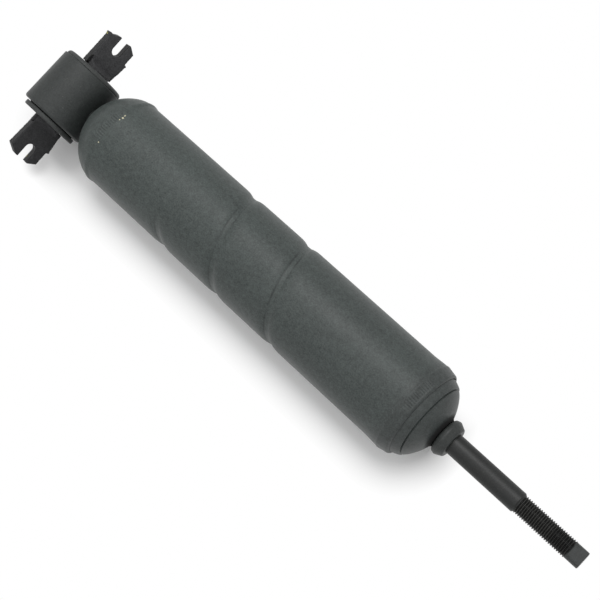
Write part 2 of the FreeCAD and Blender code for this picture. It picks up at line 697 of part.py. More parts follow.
# Rebound stop and the snap ring that holds it
save("stop_snap_ring", tube(SNAP_START, STOP_START, ROD_R - SNAP_DEPTH, ROD_R + 1.3))
stop_top = STOP_START + STOP_LENGTH
stop = turned(
    profile(
        (STOP_START, ROD_R),
        (stop_top, ROD_R),
        (stop_top, STOP_OD / 2 - 2 * BREAK),
        (stop_top - 2 * BREAK, STOP_OD / 2),
        (STOP_START + 2 * BREAK, STOP_OD / 2),
        (STOP_START, STOP_OD / 2 - 2 * BREAK),
    )
)
save("rebound_stop", stop)

# Rod guide: sintered, spigoted into the pressure tube and held in the head cap's skirt
bush_r = ROD_R + RUNNING + BUSH_WALL
guide = turned(
    profile(
        (GUIDE_START, bush_r),
        (GUIDE_TOP, bush_r),
        (GUIDE_TOP, HEAD_INNER_R),
        (GUIDE_SHOULDER, HEAD_INNER_R),
        (GUIDE_SHOULDER, BORE_R),
        (GUIDE_START + BREAK, BORE_R),
        (GUIDE_START, BORE_R - BREAK),
    )
)
drain_inner_r = BORE_R + PRESSURE_WALL
drain_circle = (drain_inner_r + HEAD_INNER_R) / 2
drain_r = (HEAD_INNER_R - drain_inner_r) / 4
guide = drilled(guide, 4, drain_circle, drain_r, GUIDE_SHOULDER - 1, GUIDE_TOP + 1)
save("rod_guide", guide)
save("guide_bush", tube(GUIDE_START + 0.5, GUIDE_TOP - 0.5, ROD_R + RUNNING, bush_r))
gasket_top = GUIDE_TOP + GASKET_SECTION
save("guide_gasket", tube(GUIDE_TOP, gasket_top, HEAD_INNER_R - GASKET_SECTION, HEAD_INNER_R))

# Rod seal, pushed up into the head cap's dome by a spring through a washer
save("seal_spring", coil(GUIDE_TOP, SEAL_WASHER_X, SEAL_OD / 2 - 1, 1.5, 2.5))
save("seal_washer", tube(SEAL_WASHER_X, SEAL_X, ROD_R + 0.5, SEAL_OD / 2 + 1))
nose_top = HEAD_MOUTH - SEAL_NOSE_SHY
seal = turned(
    profile(
        (SEAL_X, ROD_R + RUNNING),
        (nose_top, ROD_R + RUNNING),
        (nose_top, SEAL_NOSE_OD / 2 - BREAK),
        (nose_top - BREAK, SEAL_NOSE_OD / 2),
        (SEAL_TOP, SEAL_NOSE_OD / 2),
        (SEAL_TOP, SEAL_OD / 2),
        (SEAL_X, SEAL_OD / 2),
    )
)
save("rod_seal", seal)
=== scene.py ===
import math

import bpy
import numpy as np
from mathutils import Matrix, Vector


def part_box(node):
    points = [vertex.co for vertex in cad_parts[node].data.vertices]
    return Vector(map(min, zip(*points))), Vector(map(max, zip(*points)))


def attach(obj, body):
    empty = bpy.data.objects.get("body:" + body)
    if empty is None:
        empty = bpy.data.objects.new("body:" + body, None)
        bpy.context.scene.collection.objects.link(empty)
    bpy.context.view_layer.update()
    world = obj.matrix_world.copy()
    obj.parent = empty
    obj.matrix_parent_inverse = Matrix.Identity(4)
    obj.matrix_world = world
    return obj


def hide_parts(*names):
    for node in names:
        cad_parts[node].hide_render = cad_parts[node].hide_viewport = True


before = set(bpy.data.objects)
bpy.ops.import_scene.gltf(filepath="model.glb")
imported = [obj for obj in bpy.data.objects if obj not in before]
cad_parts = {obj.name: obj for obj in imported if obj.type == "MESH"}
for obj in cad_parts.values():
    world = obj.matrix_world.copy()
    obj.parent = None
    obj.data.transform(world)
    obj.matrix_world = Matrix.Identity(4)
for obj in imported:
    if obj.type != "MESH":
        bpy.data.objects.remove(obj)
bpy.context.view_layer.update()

# Reservoir tube: drawn steel with a spiral groove rolled into its wall, sprayed dark grey.
# The end over the head cap flares, is gripped in a row of short marks and rolls over as a lip;
# the other end swells where it is welded to the base cap. Shapes are in millimetres.
MM = 0.001
TURN = 2 * math.pi
SHARP_FROM = math.radians(40)
TUBE_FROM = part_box("reservoir_tube")[0].x * 1000
TUBE_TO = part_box("reservoir_tube")[1].x * 1000
TUBE_R = 25.4
TUBE_WALL = 1.6
SEAM_RISE = 0.55
SEAM_RUN = 2.4
SEAM_DRESSED = 0.06
FLARE_FROM = TUBE_TO - 15.5
FLARE_RUN = 9.0
FLARE_RISE = 0.4
BAND_FROM = TUBE_TO - 7.1
BAND_RUN = 1.4
BAND_RISE = 0.25
TAPER_FROM = TUBE_TO - 5.9
TAPER_FALL = 1.0
HEAD_SEAT = TUBE_TO - 3.6
LIP_FROM = TUBE_TO - 1.2
LIP_TO = TUBE_TO + 0.4
LIP_FALL = 1.6
LIP_WOBBLE = 0.1
PROUD_RISE = 0.35
PROUD_MIDDLE = math.radians(10)
PROUD_HALF = math.radians(85)
PROUD_FADE = 0.6
GROOVE_PITCH = 39.5
GROOVE_CROSSING = 118.0
GROOVE_LEAD = math.atan(GROOVE_PITCH / (TURN * TUBE_R))
GROOVE_DEPTH = 1.2
GROOVE_TURNS = (-195.0, 545.0)
GROOVE_FADE = 50.0
DIP_SHARE = 0.9
DIP_HALF = 3.1
CREASE_SHARE = 0.09
CREASE_HALF = 0.4
ROLLER_HALF = 1.35
GROOVED_FROM = 84.5
GROOVED_TO = 190.0
GROOVED_STEP = 0.4
INNER_STEP = 2.4
HEAD_GRIP = (TUBE_TO - 5.6, TUBE_TO - 0.7, 53, 104)
BASE_GRIP = (TUBE_FROM - 2.7, TUBE_FROM + 2.3, 60, 112)
MARK_PITCH = 1.45
MARK_DEPTH = 0.26
MARK_FADE = 0.8
ROW_FADE = 0.15
FINE_TURNS = (48, 118)
FINE_TURN = 0.6
FINE_STEP = 0.35


def new_object(name, data):
    """New object in the scene."""
    made = bpy.data.objects.new(name, data)
    bpy.context.scene.collection.objects.link(made)
    return made


def skin(name, rings, joined=False):
    """Closed mesh of a grid of rings of points in millimetres. Neighbouring rings are joined by
    four-sided faces. The last ring joins the first if joined; otherwise each end ring closes in
    a fan about its own middle."""
    count, around = rings.shape[:2]
    points = rings.reshape(-1, 3) * MM
    index = np.arange(count * around).reshape(count, around)
    below = index if joined else index[:-1]
    above = np.roll(index, -1, 0) if joined else index[1:]
    beside = np.roll(below, -1, 1)
    across = np.roll(above, -1, 1)
    faces = np.stack([below, beside, across, above], -1).reshape(-1, 4).tolist()
    if not joined:
        middles = rings[[0, -1]].mean(1) * MM
        points = np.concatenate([points, middles])
        first = np.full(around, count * around)
        faces += np.stack([first, np.roll(index[0], -1), index[0]], -1).tolist()
        faces += np.stack([first + 1, index[-1], np.roll(index[-1], -1)], -1).tolist()
    mesh = bpy.data.meshes.new(name)
    mesh.from_pydata(points.tolist(), [], faces)
    mesh.shade_smooth()
    mesh.set_sharp_from_angle(angle=SHARP_FROM)
    return new_object(name, mesh)


def even_turns(count):
    """Angles that share one turn evenly."""
    return np.linspace(0, TURN, count, endpoint=False)


def about_x(x, r, turn):
    """Rings of a profile turned about X: y is r times the cosine of the turn, z r times its sine."""
    r = r if np.ndim(r) == 2 else np.asarray(r)[:, None]
    x, r = np.broadcast_arrays(np.asarray(x)[:, None], r * np.ones(len(turn)))
    return np.stack([x, r * np.cos(turn), r * np.sin(turn)], -1)


def smooth(value):
    """Smooth step from 0 to 1: three times the square less twice the cube."""
    value = np.clip(value, 0, 1)
    return value * value * (3 - 2 * value)


def groove_depth(x, turn):
    """Depth of the rolled groove. The groove's centre line climbs one pitch a turn; the depth falls
    off with the distance across it as a wide soft dip, with a fine crease where each edge of the
    roller pressed, and fades out over the last part of a turn at each end."""
    along = TURN * (x - GROOVE_CROSSING) / GROOVE_PITCH
    wound = turn + TURN * np.round((along - turn) / TURN)
    off = (x - GROOVE_CROSSING - GROOVE_PITCH * wound / TURN) * math.cos(GROOVE_LEAD)
    creases = CREASE_SHARE * np.exp(-(((np.abs(off) - ROLLER_HALF) / CREASE_HALF) ** 2))
    dip = DIP_SHARE * np.exp(-((off / DIP_HALF) ** 2))
    first, last = np.radians(GROOVE_TURNS)
    fade = math.radians(GROOVE_FADE)
    level = smooth((wound - first + fade) / fade) * smooth((last + fade - wound) / fade)
    return GROOVE_DEPTH * level * (creases + dip)


def grip_marks(x, turn, x_from, x_to, turn_from, turn_to):
    """Depth of a row of short marks along X, left by the jaws of a press. Each is a cosine bump
    raised to the third power; the row fades out over its ends and along its sides."""
    turn = turn % TURN
    line = (0.5 + 0.5 * np.cos(TURN * turn * TUBE_R / MARK_PITCH)) ** 3
    low, high = math.radians(turn_from), math.radians(turn_to)
    level = smooth((turn - low) / ROW_FADE) * smooth((high - turn) / ROW_FADE)
    level = level * smooth((x - x_from) / MARK_FADE) * smooth((x_to - x) / MARK_FADE)
    return MARK_DEPTH * level * line


def seam_rise(x, turn):
    """Swell of the welded seam between tube and base cap, a smooth step away from it on each side.
    It was dressed down along the top and bottom, so it follows the squared cosine of the turn."""
    around = SEAM_DRESSED + (1 - SEAM_DRESSED) * np.cos(turn) ** 2
    return SEAM_RISE * smooth(1 - np.abs(x - TUBE_FROM) / SEAM_RUN) * around


outer_x = np.concatenate(
    [
        np.arange(TUBE_FROM, TUBE_FROM + 3, FINE_STEP),
        np.linspace(TUBE_FROM + 3.5, GROOVED_FROM - 0.5, 8),
        np.arange(GROOVED_FROM, GROOVED_TO, GROOVED_STEP),
        np.linspace(GROOVED_TO + 0.5, FLARE_FROM - 0.5, 8),
        np.arange(FLARE_FROM, LIP_FROM, FINE_STEP),
        np.linspace(LIP_FROM, LIP_TO, 8),
    ]
)[:, None]
wide_turns = np.linspace(FINE_TURNS[1], FINE_TURNS[0] + 360, 120, endpoint=False)
tube_turn = np.radians(np.concatenate([np.arange(*FINE_TURNS, FINE_TURN), wide_turns]))
taper_share = np.clip((outer_x - TAPER_FROM) / (LIP_FROM - TAPER_FROM), 0, 1)
lip_share = np.clip((outer_x - LIP_FROM) / (LIP_TO - LIP_FROM), 0, 1)
wobble = 0.5 * np.cos(5 * tube_turn + 1) + 0.3 * np.cos(11 * tube_turn) + 0.2 * np.cos(17 * tube_turn + 2)
from_proud = np.abs(tube_turn % TURN - PROUD_MIDDLE)
lip_proud = PROUD_RISE * smooth((PROUD_HALF - from_proud) / PROUD_FADE)
lip_fall = LIP_FALL - lip_proud - LIP_WOBBLE * wobble
outer_r = TUBE_R + seam_rise(outer_x, tube_turn)
outer_r += FLARE_RISE * smooth((outer_x - FLARE_FROM) / FLARE_RUN)
outer_r += BAND_RISE * smooth((outer_x - BAND_FROM) / BAND_RUN)
outer_r -= TAPER_FALL * taper_share
outer_r -= lip_fall * (1 - np.sqrt(1 - lip_share**2))
outer_r -= grip_marks(outer_x, tube_turn, *HEAD_GRIP)
outer_r -= grip_marks(outer_x, tube_turn, *BASE_GRIP)
inner_x = np.concatenate(
    [
        [HEAD_SEAT],
        np.linspace(GROOVED_TO + 50, GROOVED_TO, 5),
        np.arange(GROOVED_TO - 1.5, GROOVED_FROM - 0.5, -INNER_STEP),
        np.linspace(GROOVED_FROM - 2.5, TUBE_FROM, 4),
    ]
)[:, None]
inner_r = np.full((len(inner_x), len(tube_turn)), TUBE_R - TUBE_WALL)
tube_x = np.concatenate([outer_x, inner_x])
tube_r = np.concatenate([outer_r, inner_r]) - groove_depth(tube_x, tube_turn)
reservoir = skin("reservoir_tube_skin", about_x(tube_x[:, 0], tube_r, tube_turn), joined=True)


def node(tree, kind, inputs=None, **settings):
    """Adds one shader node. An input that is given a socket is linked to it; any other is set."""
    made = tree.nodes.new(kind)
    for key, value in settings.items():
        setattr(made, key, value)
    for key, value in (inputs or {}).items():
        if isinstance(value, bpy.types.NodeSocket):
            tree.links.new(value, made.inputs[key])
        else:
            made.inputs[key].default_value = value
    return made


def math_node(tree, operation, *values):
    """Output of a Math node."""
    return node(tree, "ShaderNodeMath", dict(enumerate(values)), operation=operation).outputs[0]


def vector_node(tree, operation, output, inputs):
    """Named output of a Vector Math node."""
    return node(tree, "ShaderNodeVectorMath", inputs, operation=operation).outputs[output]


def ramp(tree, value, low, high, kind="SMOOTHSTEP"):
    """Value mapped from 0 at low to 1 at high, by a smooth step unless another kind is given."""
    inputs = {"Value": value, "From Min": low, "From Max": high}
    return node(tree, "ShaderNodeMapRange", inputs, interpolation_type=kind).outputs[0]


def mixed(tree, share, first, second):
    """Colour between two colours."""
    return node(tree, "ShaderNodeMix", {0: share, 6: first, 7: second}, data_type="RGBA").outputs[2]


def scaled(tree, color, factor):
    """Colour times a value."""
    return vector_node(tree, "SCALE", "Vector", {0: color, "Scale": factor})


def split(tree, place):
    """The X, Y and Z of a place."""
    return node(tree, "ShaderNodeSeparateXYZ", {0: place}).outputs


def noise(tree, place, scale, detail=3.0, roughness=0.55):
    """Value of a noise at a scale per metre."""
    inputs = {"Vector": place, "Scale": scale, "Detail": detail, "Roughness": roughness}
    return node(tree, "ShaderNodeTexNoise", inputs).outputs[0]


def swing(tree, place, scale, detail, roughness=0.55):
    """The same noise less its mean, so that it swings to both sides of zero."""
    return math_node(tree, "SUBTRACT", noise(tree, place, scale, detail, roughness), 0.5)


def new_group(name, inputs, outputs):
    """Empty shader node group with named sockets, its input node and its output node."""
    tree = bpy.data.node_groups.new(name, "ShaderNodeTree")
    for label, kind in inputs.items():
        tree.interface.new_socket(label, in_out="INPUT", socket_type="NodeSocket" + kind)
    for label, kind in outputs.items():
        tree.interface.new_socket(label, in_out="OUTPUT", socket_type="NodeSocket" + kind)
    return tree, tree.nodes.new("NodeGroupInput").outputs, tree.nodes.new("NodeGroupOutput").inputs


def new_material(name, **sockets):
    """Material with one Principled shader; sockets hold what is the same all over the surface."""
    material = bpy.data.materials.new(name)
    material.use_nodes = True
    tree = material.node_tree
    shader = tree.nodes["Principled BSDF"]
    for label, value in sockets.items():
        shader.inputs[label.replace("_", " ").title().replace("Ior", "IOR")].default_value = value
    place = tree.nodes.new("ShaderNodeTexCoord").outputs["Object"]
    return material, tree, shader, place


def link_finish(tree, finish, shader):
    """Links the colour and roughness of a finish group to the shader."""
    tree.links.new(finish.outputs["Color"], shader.inputs["Base Color"])
    tree.links.new(finish.outputs["Roughness"], shader.inputs["Roughness"])


# Sprayed enamel, as a group: orange peel over broad lumps, clouds of tone, fine grain, a little dust
LUMP_SCALE = 150.0
LUMP_HEIGHT = 2.5
PEEL_SCALE = 800.0
CLOUD_SCALE = 38.0
CLOUD_TONE = 0.35
CLOUD_SHEEN = 0.2
GRAIN_SCALE = 1300.0
GRAIN_TONE = 1.6
MOTTLE_SCALE = 420.0
MOTTLE_TONE = 0.8
SPECK_SCALE = 700.0
PEEL_STRENGTH = 0.5
enamel, enamel_in, enamel_out = new_group(
    "sprayed_enamel",
    {"Place": "Vector", "Paint": "Color", "Dust": "Color", "Dustiness": "Float", "Sheen Roughness": "Float"},
    {"Color": "Color", "Roughness": "Float", "Height": "Float"},
)
sprayed = enamel_in["Place"]
lumps = math_node(enamel, "MULTIPLY", noise(enamel, sprayed, LUMP_SCALE, 2.0), LUMP_HEIGHT)
peel = math_node(enamel, "ADD", noise(enamel, sprayed, PEEL_SCALE, 3.0, 0.65), lumps)
cloud = swing(enamel, sprayed, CLOUD_SCALE, 4.0)
tone = math_node(enamel, "MULTIPLY_ADD", cloud, CLOUD_TONE, 1.0)
tone = math_node(enamel, "MULTIPLY_ADD", swing(enamel, sprayed, GRAIN_SCALE, 2.0, 0.7), GRAIN_TONE, tone)
tone = math_node(enamel, "MULTIPLY_ADD", swing(enamel, sprayed, MOTTLE_SCALE, 2.0), MOTTLE_TONE, tone)
toned = scaled(enamel, enamel_in["Paint"], tone)
specks = ramp(enamel, noise(enamel, sprayed, SPECK_SCALE, 2.0), 0.66, 0.76)
dusting = math_node(enamel, "MULTIPLY", specks, enamel_in["Dustiness"])
sheen_roughness = math_node(enamel, "MULTIPLY_ADD", cloud, CLOUD_SHEEN, enamel_in["Sheen Roughness"])
enamel.links.new(mixed(enamel, dusting, toned, enamel_in["Dust"]), enamel_out["Color"])
enamel.links.new(sheen_roughness, enamel_out["Roughness"])
enamel.links.new(peel, enamel_out["Height"])


def enamelled(name, paint, dust, dustiness, sheen, peel_height, specular=0.4):
    """Material of the sprayed enamel, with its tree, shader, coat group and place for more layers.
    The peel's height is in metres."""
    material, tree, shader, place = new_material(name, specular_ior_level=specular)
    inputs = {"Place": place, "Paint": paint, "Dust": dust, "Dustiness": dustiness, "Sheen Roughness": sheen}
    coat = node(tree, "ShaderNodeGroup", inputs, node_tree=enamel)
    relief = {"Height": coat.outputs["Height"], "Distance": peel_height, "Strength": PEEL_STRENGTH}
    link_finish(tree, coat, shader)
    tree.links.new(node(tree, "ShaderNodeBump", relief).outputs["Normal"], shader.inputs["Normal"])
    return material, tree, shader, coat, place


def near_points(tree, place, points, radius):
    """Mask of ragged spots round points given in millimetres: where the distance to a point is less
    than a noise that reaches about as far as the radius."""
    reach = math_node(tree, "MULTIPLY", noise(tree, place, 1500.0, 2.0), 1.4 * radius * MM)
    mask = 0.0
    for point in points:
        away = vector_node(tree, "DISTANCE", "Value", {0: place, 1: Vector(point) * MM})
        mask = math_node(tree, "MAXIMUM", math_node(tree, "LESS_THAN", away, reach), mask)
    return mask


BODY_PAINT = (0.0490, 0.0590, 0.0560, 1)
END_PAINT_SHADED = (0.0405, 0.0465, 0.0450, 1)
BODY_DUST = (0.12, 0.125, 0.12, 1)
MATT_COAT = dict(dust=BODY_DUST, dustiness=0.25, sheen=0.45, peel_height=0.00012, specular=0.28)
HEAD_SHADE_RUN = ((TUBE_TO - 14) * MM, (TUBE_TO - 5) * MM)
BASE_TONE = ((TUBE_FROM + 4) * MM, 0.03)
BASE_SHARE = 0.2
HEAD_WARD_RUN = (0.12, 0.21)
HEAD_WARD_SHARE = 0.35
CREASE_SHADE = (0.004, 0.005, 0.005, 1)
CREASE_SHADE_SHARE = 0.5
CREASE_PATCH_SCALE = 90.0
CREASE_SHADE_REACH = 0.75
UNSHADED_SIDE = (0.0205, 0.0150)
SECOND_CREASE = (-0.004, 0.005)
BARE_BRASS = (0.50, 0.47, 0.33, 1)
CHIPS = [(43.4, 8.9, 23.8), (43.1, 10.5, 23.1)]
CHIP_R = 0.7
FLECKS = [(42.7, -8.6, 23.9), (43.0, 7.2, 24.4)]
FLECK_R = 0.5
# The paint darkens towards the ends. At the head end this is painted shade, where that end gets less light;
# along the body towards the head and at the base end the paint is only made darker.
body_paint, body_tree, body_shader, body_coat, body_place = enamelled("body_enamel", BODY_PAINT, **MATT_COAT)
body_spot = split(body_tree, body_place)
painted_head_shade = ramp(body_tree, body_spot["X"], *HEAD_SHADE_RUN)
at_base = math_node(body_tree, "MULTIPLY", ramp(body_tree, body_spot["X"], *BASE_TONE), BASE_SHARE)
darker_to_head = math_node(body_tree, "MULTIPLY", ramp(body_tree, body_spot["X"], *HEAD_WARD_RUN), HEAD_WARD_SHARE)
end_darkening = math_node(body_tree, "MAXIMUM", math_node(body_tree, "MAXIMUM", painted_head_shade, at_base), darker_to_head)
end_tone = mixed(body_tree, end_darkening, BODY_PAINT, END_PAINT_SHADED)


def groove_crease_shade(tree, place, spot):
    """Mask of painted shade in the groove's two creases: the distance across the spiral, found from the
    turn about X as in the mesh, less the roller's half width. It is patchy, fades out with the groove
    and towards the upper side, and stays in the second crease only along the top."""
    turned = math_node(tree, "DIVIDE", math_node(tree, "ARCTAN2", spot["Z"], spot["Y"]), TURN)
    from_crossing = math_node(tree, "SUBTRACT", spot["X"], GROOVE_CROSSING * MM)
    pitches = math_node(tree, "DIVIDE", from_crossing, GROOVE_PITCH * MM)
    phase = math_node(tree, "SUBTRACT", pitches, turned)
    nearest = math_node(tree, "ROUND", phase)
    off = math_node(tree, "SUBTRACT", phase, nearest)
    off = math_node(tree, "MULTIPLY", off, GROOVE_PITCH * math.cos(GROOVE_LEAD))
    from_first = math_node(tree, "ABSOLUTE", math_node(tree, "ADD", off, ROLLER_HALF))
    from_second = math_node(tree, "ABSOLUTE", math_node(tree, "SUBTRACT", off, ROLLER_HALF))
    in_second = ramp(tree, from_second, CREASE_SHADE_REACH, 0.0)
    in_second = math_node(tree, "MULTIPLY", in_second, ramp(tree, spot["Y"], *SECOND_CREASE))
    in_crease = math_node(tree, "ADD", ramp(tree, from_first, CREASE_SHADE_REACH, 0.0), in_second)
    patchy = ramp(tree, noise(tree, place, CREASE_PATCH_SCALE, 2.0), 0.25, 0.6)
    in_crease = math_node(tree, "MULTIPLY", in_crease, patchy)
    in_crease = math_node(tree, "MULTIPLY", in_crease, ramp(tree, spot["Y"], *UNSHADED_SIDE))
    wound = math_node(tree, "MULTIPLY", math_node(tree, "ADD", nearest, turned), 360.0)
    first, last = GROOVE_TURNS
    rising = ramp(tree, wound, first - GROOVE_FADE, first)
    falling = ramp(tree, wound, last + GROOVE_FADE, last)
    return math_node(tree, "MULTIPLY", in_crease, math_node(tree, "MULTIPLY", rising, falling))


# The groove's creases are painted darker, a painted shade.
painted_crease_shade = math_node(body_tree, "MULTIPLY", groove_crease_shade(body_tree, body_place, body_spot), CREASE_SHADE_SHARE)
body_tree.links.new(mixed(body_tree, painted_crease_shade, end_tone, CREASE_SHADE), body_coat.inputs["Paint"])
chipped = near_points(body_tree, body_place, CHIPS, CHIP_R)
chipped = math_node(body_tree, "MAXIMUM", chipped, near_points(body_tree, body_place, FLECKS, FLECK_R))
body_color = mixed(body_tree, chipped, body_coat.outputs["Color"], BARE_BRASS)
body_tree.links.new(body_color, body_shader.inputs["Base Color"])
reservoir.data.materials.append(body_paint)
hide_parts("reservoir_tube")
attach(reservoir, "cylinder")

# Base cap: a deep dome pressed from sheet and welded to the tube, its seam a little proud.
# A spigot behind the rim locates it in the tube's bore; the press left grip marks at the rim.
BASE_R = 25.5
BASE_HEIGHT = 21.3
BASE_KNUCKLE = 14.0
BASE_SHEET = 2.2
BASE_SPIGOT = 5.0


def pressed_dome(rim, height, radius, knuckle, steps=40):
    """Profile of a pressed dome from its rim to its middle: a knuckle arc that leaves the rim
    straight, then a crown arc tangent to it. The crown's radius follows from height and knuckle."""
    tall = abs(height)
    crown = (tall**2 + (radius - knuckle) ** 2 - knuckle**2) / (2 * (tall - knuckle))
    meet = math.asin((radius - knuckle) / (crown - knuckle))
    bend = np.linspace(0, math.pi / 2 - meet, steps // 2)
    over = np.linspace(meet, 0.01, steps // 2 + 1)[1:]
    depth = np.concatenate([knuckle * np.sin(bend), tall - crown + crown * np.cos(over)])
    r = np.concatenate([radius - knuckle + knuckle * np.cos(bend), crown * np.sin(over)])
    return rim + math.copysign(1, height) * depth, r


dome_x, dome_r = pressed_dome(TUBE_FROM, -BASE_HEIGHT, BASE_R, BASE_KNUCKLE, 80)
dome_x = dome_x[::-1, None]
dome_r = dome_r[::-1, None] - (BASE_R - TUBE_R) * smooth(1 - (TUBE_FROM - dome_x) / SEAM_RUN)
dome_r = dome_r + seam_rise(dome_x, tube_turn)
dome_r -= grip_marks(dome_x, tube_turn, *BASE_GRIP)
spigot_r = TUBE_R - TUBE_WALL
inside_r = spigot_r - BASE_SHEET / 2
hollow_x, hollow_r = pressed_dome(TUBE_FROM, BASE_SHEET - BASE_HEIGHT, inside_r, BASE_KNUCKLE - BASE_SHEET)
spigot_x = TUBE_FROM + np.array([0, BASE_SPIGOT, BASE_SPIGOT])
lining_r = np.concatenate([[spigot_r, spigot_r, inside_r], hollow_r])[:, None] * np.ones(len(tube_turn))
base_x = np.concatenate([dome_x[:, 0], spigot_x, hollow_x])
base_r = np.concatenate([dome_r, lining_r])
base_cap = skin("base_cap_dome", about_x(base_x, base_r, tube_turn))
base_cap.data.materials.append(body_paint)
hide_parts("base_cap")
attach(base_cap, "cylinder")

# Eye ring: a length cut from thick tube with its edges broken, standing across the dome.
# An arc-welded bead round the contact, with its ripples painted over, holds it to the base cap.
EYE_R = 18.95
EYE_WALL = 4.0
EYE_HALF = 16.1
WORN_EDGE = 1.4
CUT_EDGE = 0.6
BORE_EDGE = 0.5
BEAD_R = 5.2
BEAD_RADIAL = 1.2
BEAD_INTO_DOME = 1.85
BEAD_INTO_BOTH = 0.7
BEAD_RIPPLES = 34
BEAD_RIPPLE = 0.10
BEAD_WAVES = 7
BEAD_WAVE = 0.06
EYE_PAINT = (0.0205, 0.0238, 0.0229, 1)


def rounded(corners, steps=6):
    """Points of an outline with rounded corners. Each corner (x, r, radius) becomes an arc that
    touches both of its sides, swept evenly about the arc's centre; radius 0 keeps it sharp."""
    spots = np.array([corner[:2] for corner in corners], float)
    radii = np.array([corner[2] if len(corner) > 2 else 0 for corner in corners], float)
    back = np.roll(spots, 1, 0) - spots
    on = np.roll(spots, -1, 0) - spots
    back /= np.linalg.norm(back, axis=1)[:, None]
    on /= np.linalg.norm(on, axis=1)[:, None]
    half = np.arccos(np.clip((back * on).sum(1), -1, 1)) / 2
    reach = (radii / np.tan(half))[:, None]
    bisector = (back + on) / np.maximum(np.linalg.norm(back + on, axis=1), 1e-9)[:, None]
    centre = spots + bisector * (radii / np.sin(half))[:, None]
    start = spots + back * reach - centre
    end = spots + on * reach - centre
    sweep = np.maximum(math.pi - 2 * half, 1e-6)[:, None, None]
    share = np.linspace(0, 1, steps)[None, :, None]
    arc = np.sin((1 - share) * sweep) * start[:, None] + np.sin(share * sweep) * end[:, None]
    line = (centre[:, None] + arc / np.sin(sweep)).reshape(-1, 2)
    apart = np.linalg.norm(line - np.roll(line, 1, 0), axis=1) > 1e-6
    return line[apart]


def across_y(rings):
    """The same rings with the X axis laid along Y, a plain turn of the three axes."""
    return rings[..., [2, 0, 1]]


ring_line = rounded(
    [
        (-EYE_HALF, EYE_R, WORN_EDGE),
        (EYE_HALF, EYE_R, CUT_EDGE),
        (EYE_HALF, EYE_R - EYE_WALL, BORE_EDGE),
        (-EYE_HALF, EYE_R - EYE_WALL, BORE_EDGE),
    ]
)
ring_rings = across_y(about_x(ring_line[:, 0], ring_line[:, 1], even_turns(160)))
eye_ring = skin("eye_ring_tube", ring_rings, joined=True)

# The bead is a bent torus: its section spans from the ring's curved side to the dome
bead_turn = even_turns(240)[:, None]
bead_round = even_turns(16)[None, :]
bead_ripple = 1 + BEAD_RIPPLE * np.cos(BEAD_RIPPLES * bead_turn)
bead_ripple += BEAD_WAVE * np.cos(BEAD_WAVES * bead_turn + 1)
bead_low = np.sqrt(EYE_R**2 - (BEAD_R * np.sin(bead_turn)) ** 2)
bead_high = TUBE_FROM - BASE_HEIGHT + BEAD_INTO_DOME
bead_x = (bead_low + bead_high) / 2 + ((bead_high - bead_low) / 2 + BEAD_INTO_BOTH) * np.cos(bead_round)
bead_out = BEAD_R + BEAD_RADIAL * bead_ripple * np.sin(bead_round)
bead_rings = np.stack([bead_x, bead_out * np.cos(bead_turn), bead_out * np.sin(bead_turn)], -1)
eye_bead = skin("eye_weld_bead", bead_rings, joined=True)

eye_paint = enamelled(
    "eye_enamel", EYE_PAINT, BODY_DUST, dustiness=0.25, sheen=0.5, peel_height=0.0001, specular=0.35
)[0]
for piece in (eye_ring, eye_bead):
    piece.data.materials.append(eye_paint)
    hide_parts("eye_ring")
    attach(piece, "cylinder")

# Eye bushing: black rubber moulded in the ring round the bar pin.
# A flange stands at each end of the ring; the pull of the pin closed one gap and opened the other.
PIN_R = 8.25
PIN_GAP = 0.05
BORE_R = EYE_R - EYE_WALL
RIGHT_FROM = 16.6
RIGHT_TO = 19.2
RIGHT_R = 16.4
LEFT_FROM = 16.1
LEFT_TO = 18.4
LEFT_R = 18.3
LEFT_PULL = 0.35
RUBBER = (0.0275, 0.0302, 0.0293, 1)
GREY_DUST = (0.07, 0.07, 0.07, 1)
bushing_line = rounded(
    [
        (-RIGHT_TO, PIN_R + PIN_GAP, 0.3),
        (-RIGHT_TO, RIGHT_R, 0.8),
        (-RIGHT_FROM, RIGHT_R, 0.4),
        (-RIGHT_FROM, BORE_R - 0.5),
        (-EYE_HALF, BORE_R),
        (EYE_HALF, BORE_R),
        (LEFT_FROM, LEFT_R, 0.3),
        (LEFT_TO, LEFT_R, 1.9),
        (LEFT_TO, PIN_R + PIN_GAP, 0.3),
    ]
)
bushing_rings = across_y(about_x(bushing_line[:, 0], bushing_line[:, 1], even_turns(128)))
on_rim = np.hypot(bushing_rings[..., 0], bushing_rings[..., 2]) > PIN_R + 2
bushing_rings[..., 0] += LEFT_PULL * on_rim * (bushing_rings[..., 1] > EYE_HALF)
bushing = skin("eye_bushing_rubber", bushing_rings, joined=True)
rubber = enamelled("bushing_rubber", RUBBER, GREY_DUST, dustiness=0.4, sheen=0.6, peel_height=0.00008)[0]
bushing.data.materials.append(rubber)
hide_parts("eye_bushing")
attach(bushing, "cylinder")

# Bar pin: a forged bar, round in the bushing and hammered flat outside it, slotted at each end.
# It sits a little askew in its rubber; the trimmed flash left a burr along one edge of each fork.
PIN_TWIST = math.radians(49.0)
PIN_SKEW = math.radians(1.4)
PIN_SHIFT = 0.85
PIN_SLIDE = -0.6
FORK_HALF = 8.5
FORK_THICK = 7.0
FORK_FROM = 19.5
FORK_TIP = 42.2
FORK_EDGE = 0.6
TIP_EDGE = 0.35
CHAMFER_ALONG = 3.0
CHAMFER_ACROSS = 4.6
BURR_FROM = 20.0
BURR_RUN = 10.0
BURR_RISE = 1.0
BURR_BELOW = 0.4
BURR_BREAK = 0.4
BURR_TOOTH = 0.5
SPIKE_RISE = 1.3
SPIKE_WIDTH = 0.55
RAMP_FROM = 19.7
RAMP_TO = 22.5
BARREL_TO = RAMP_TO + 1.4


def twisted(across, y, height):
    """Points turned about Y by the pin's twist."""
    x = across * math.cos(PIN_TWIST) + height * math.sin(PIN_TWIST)
    z = height * math.cos(PIN_TWIST) - across * math.sin(PIN_TWIST)
    return np.stack([x, y, z], -1)


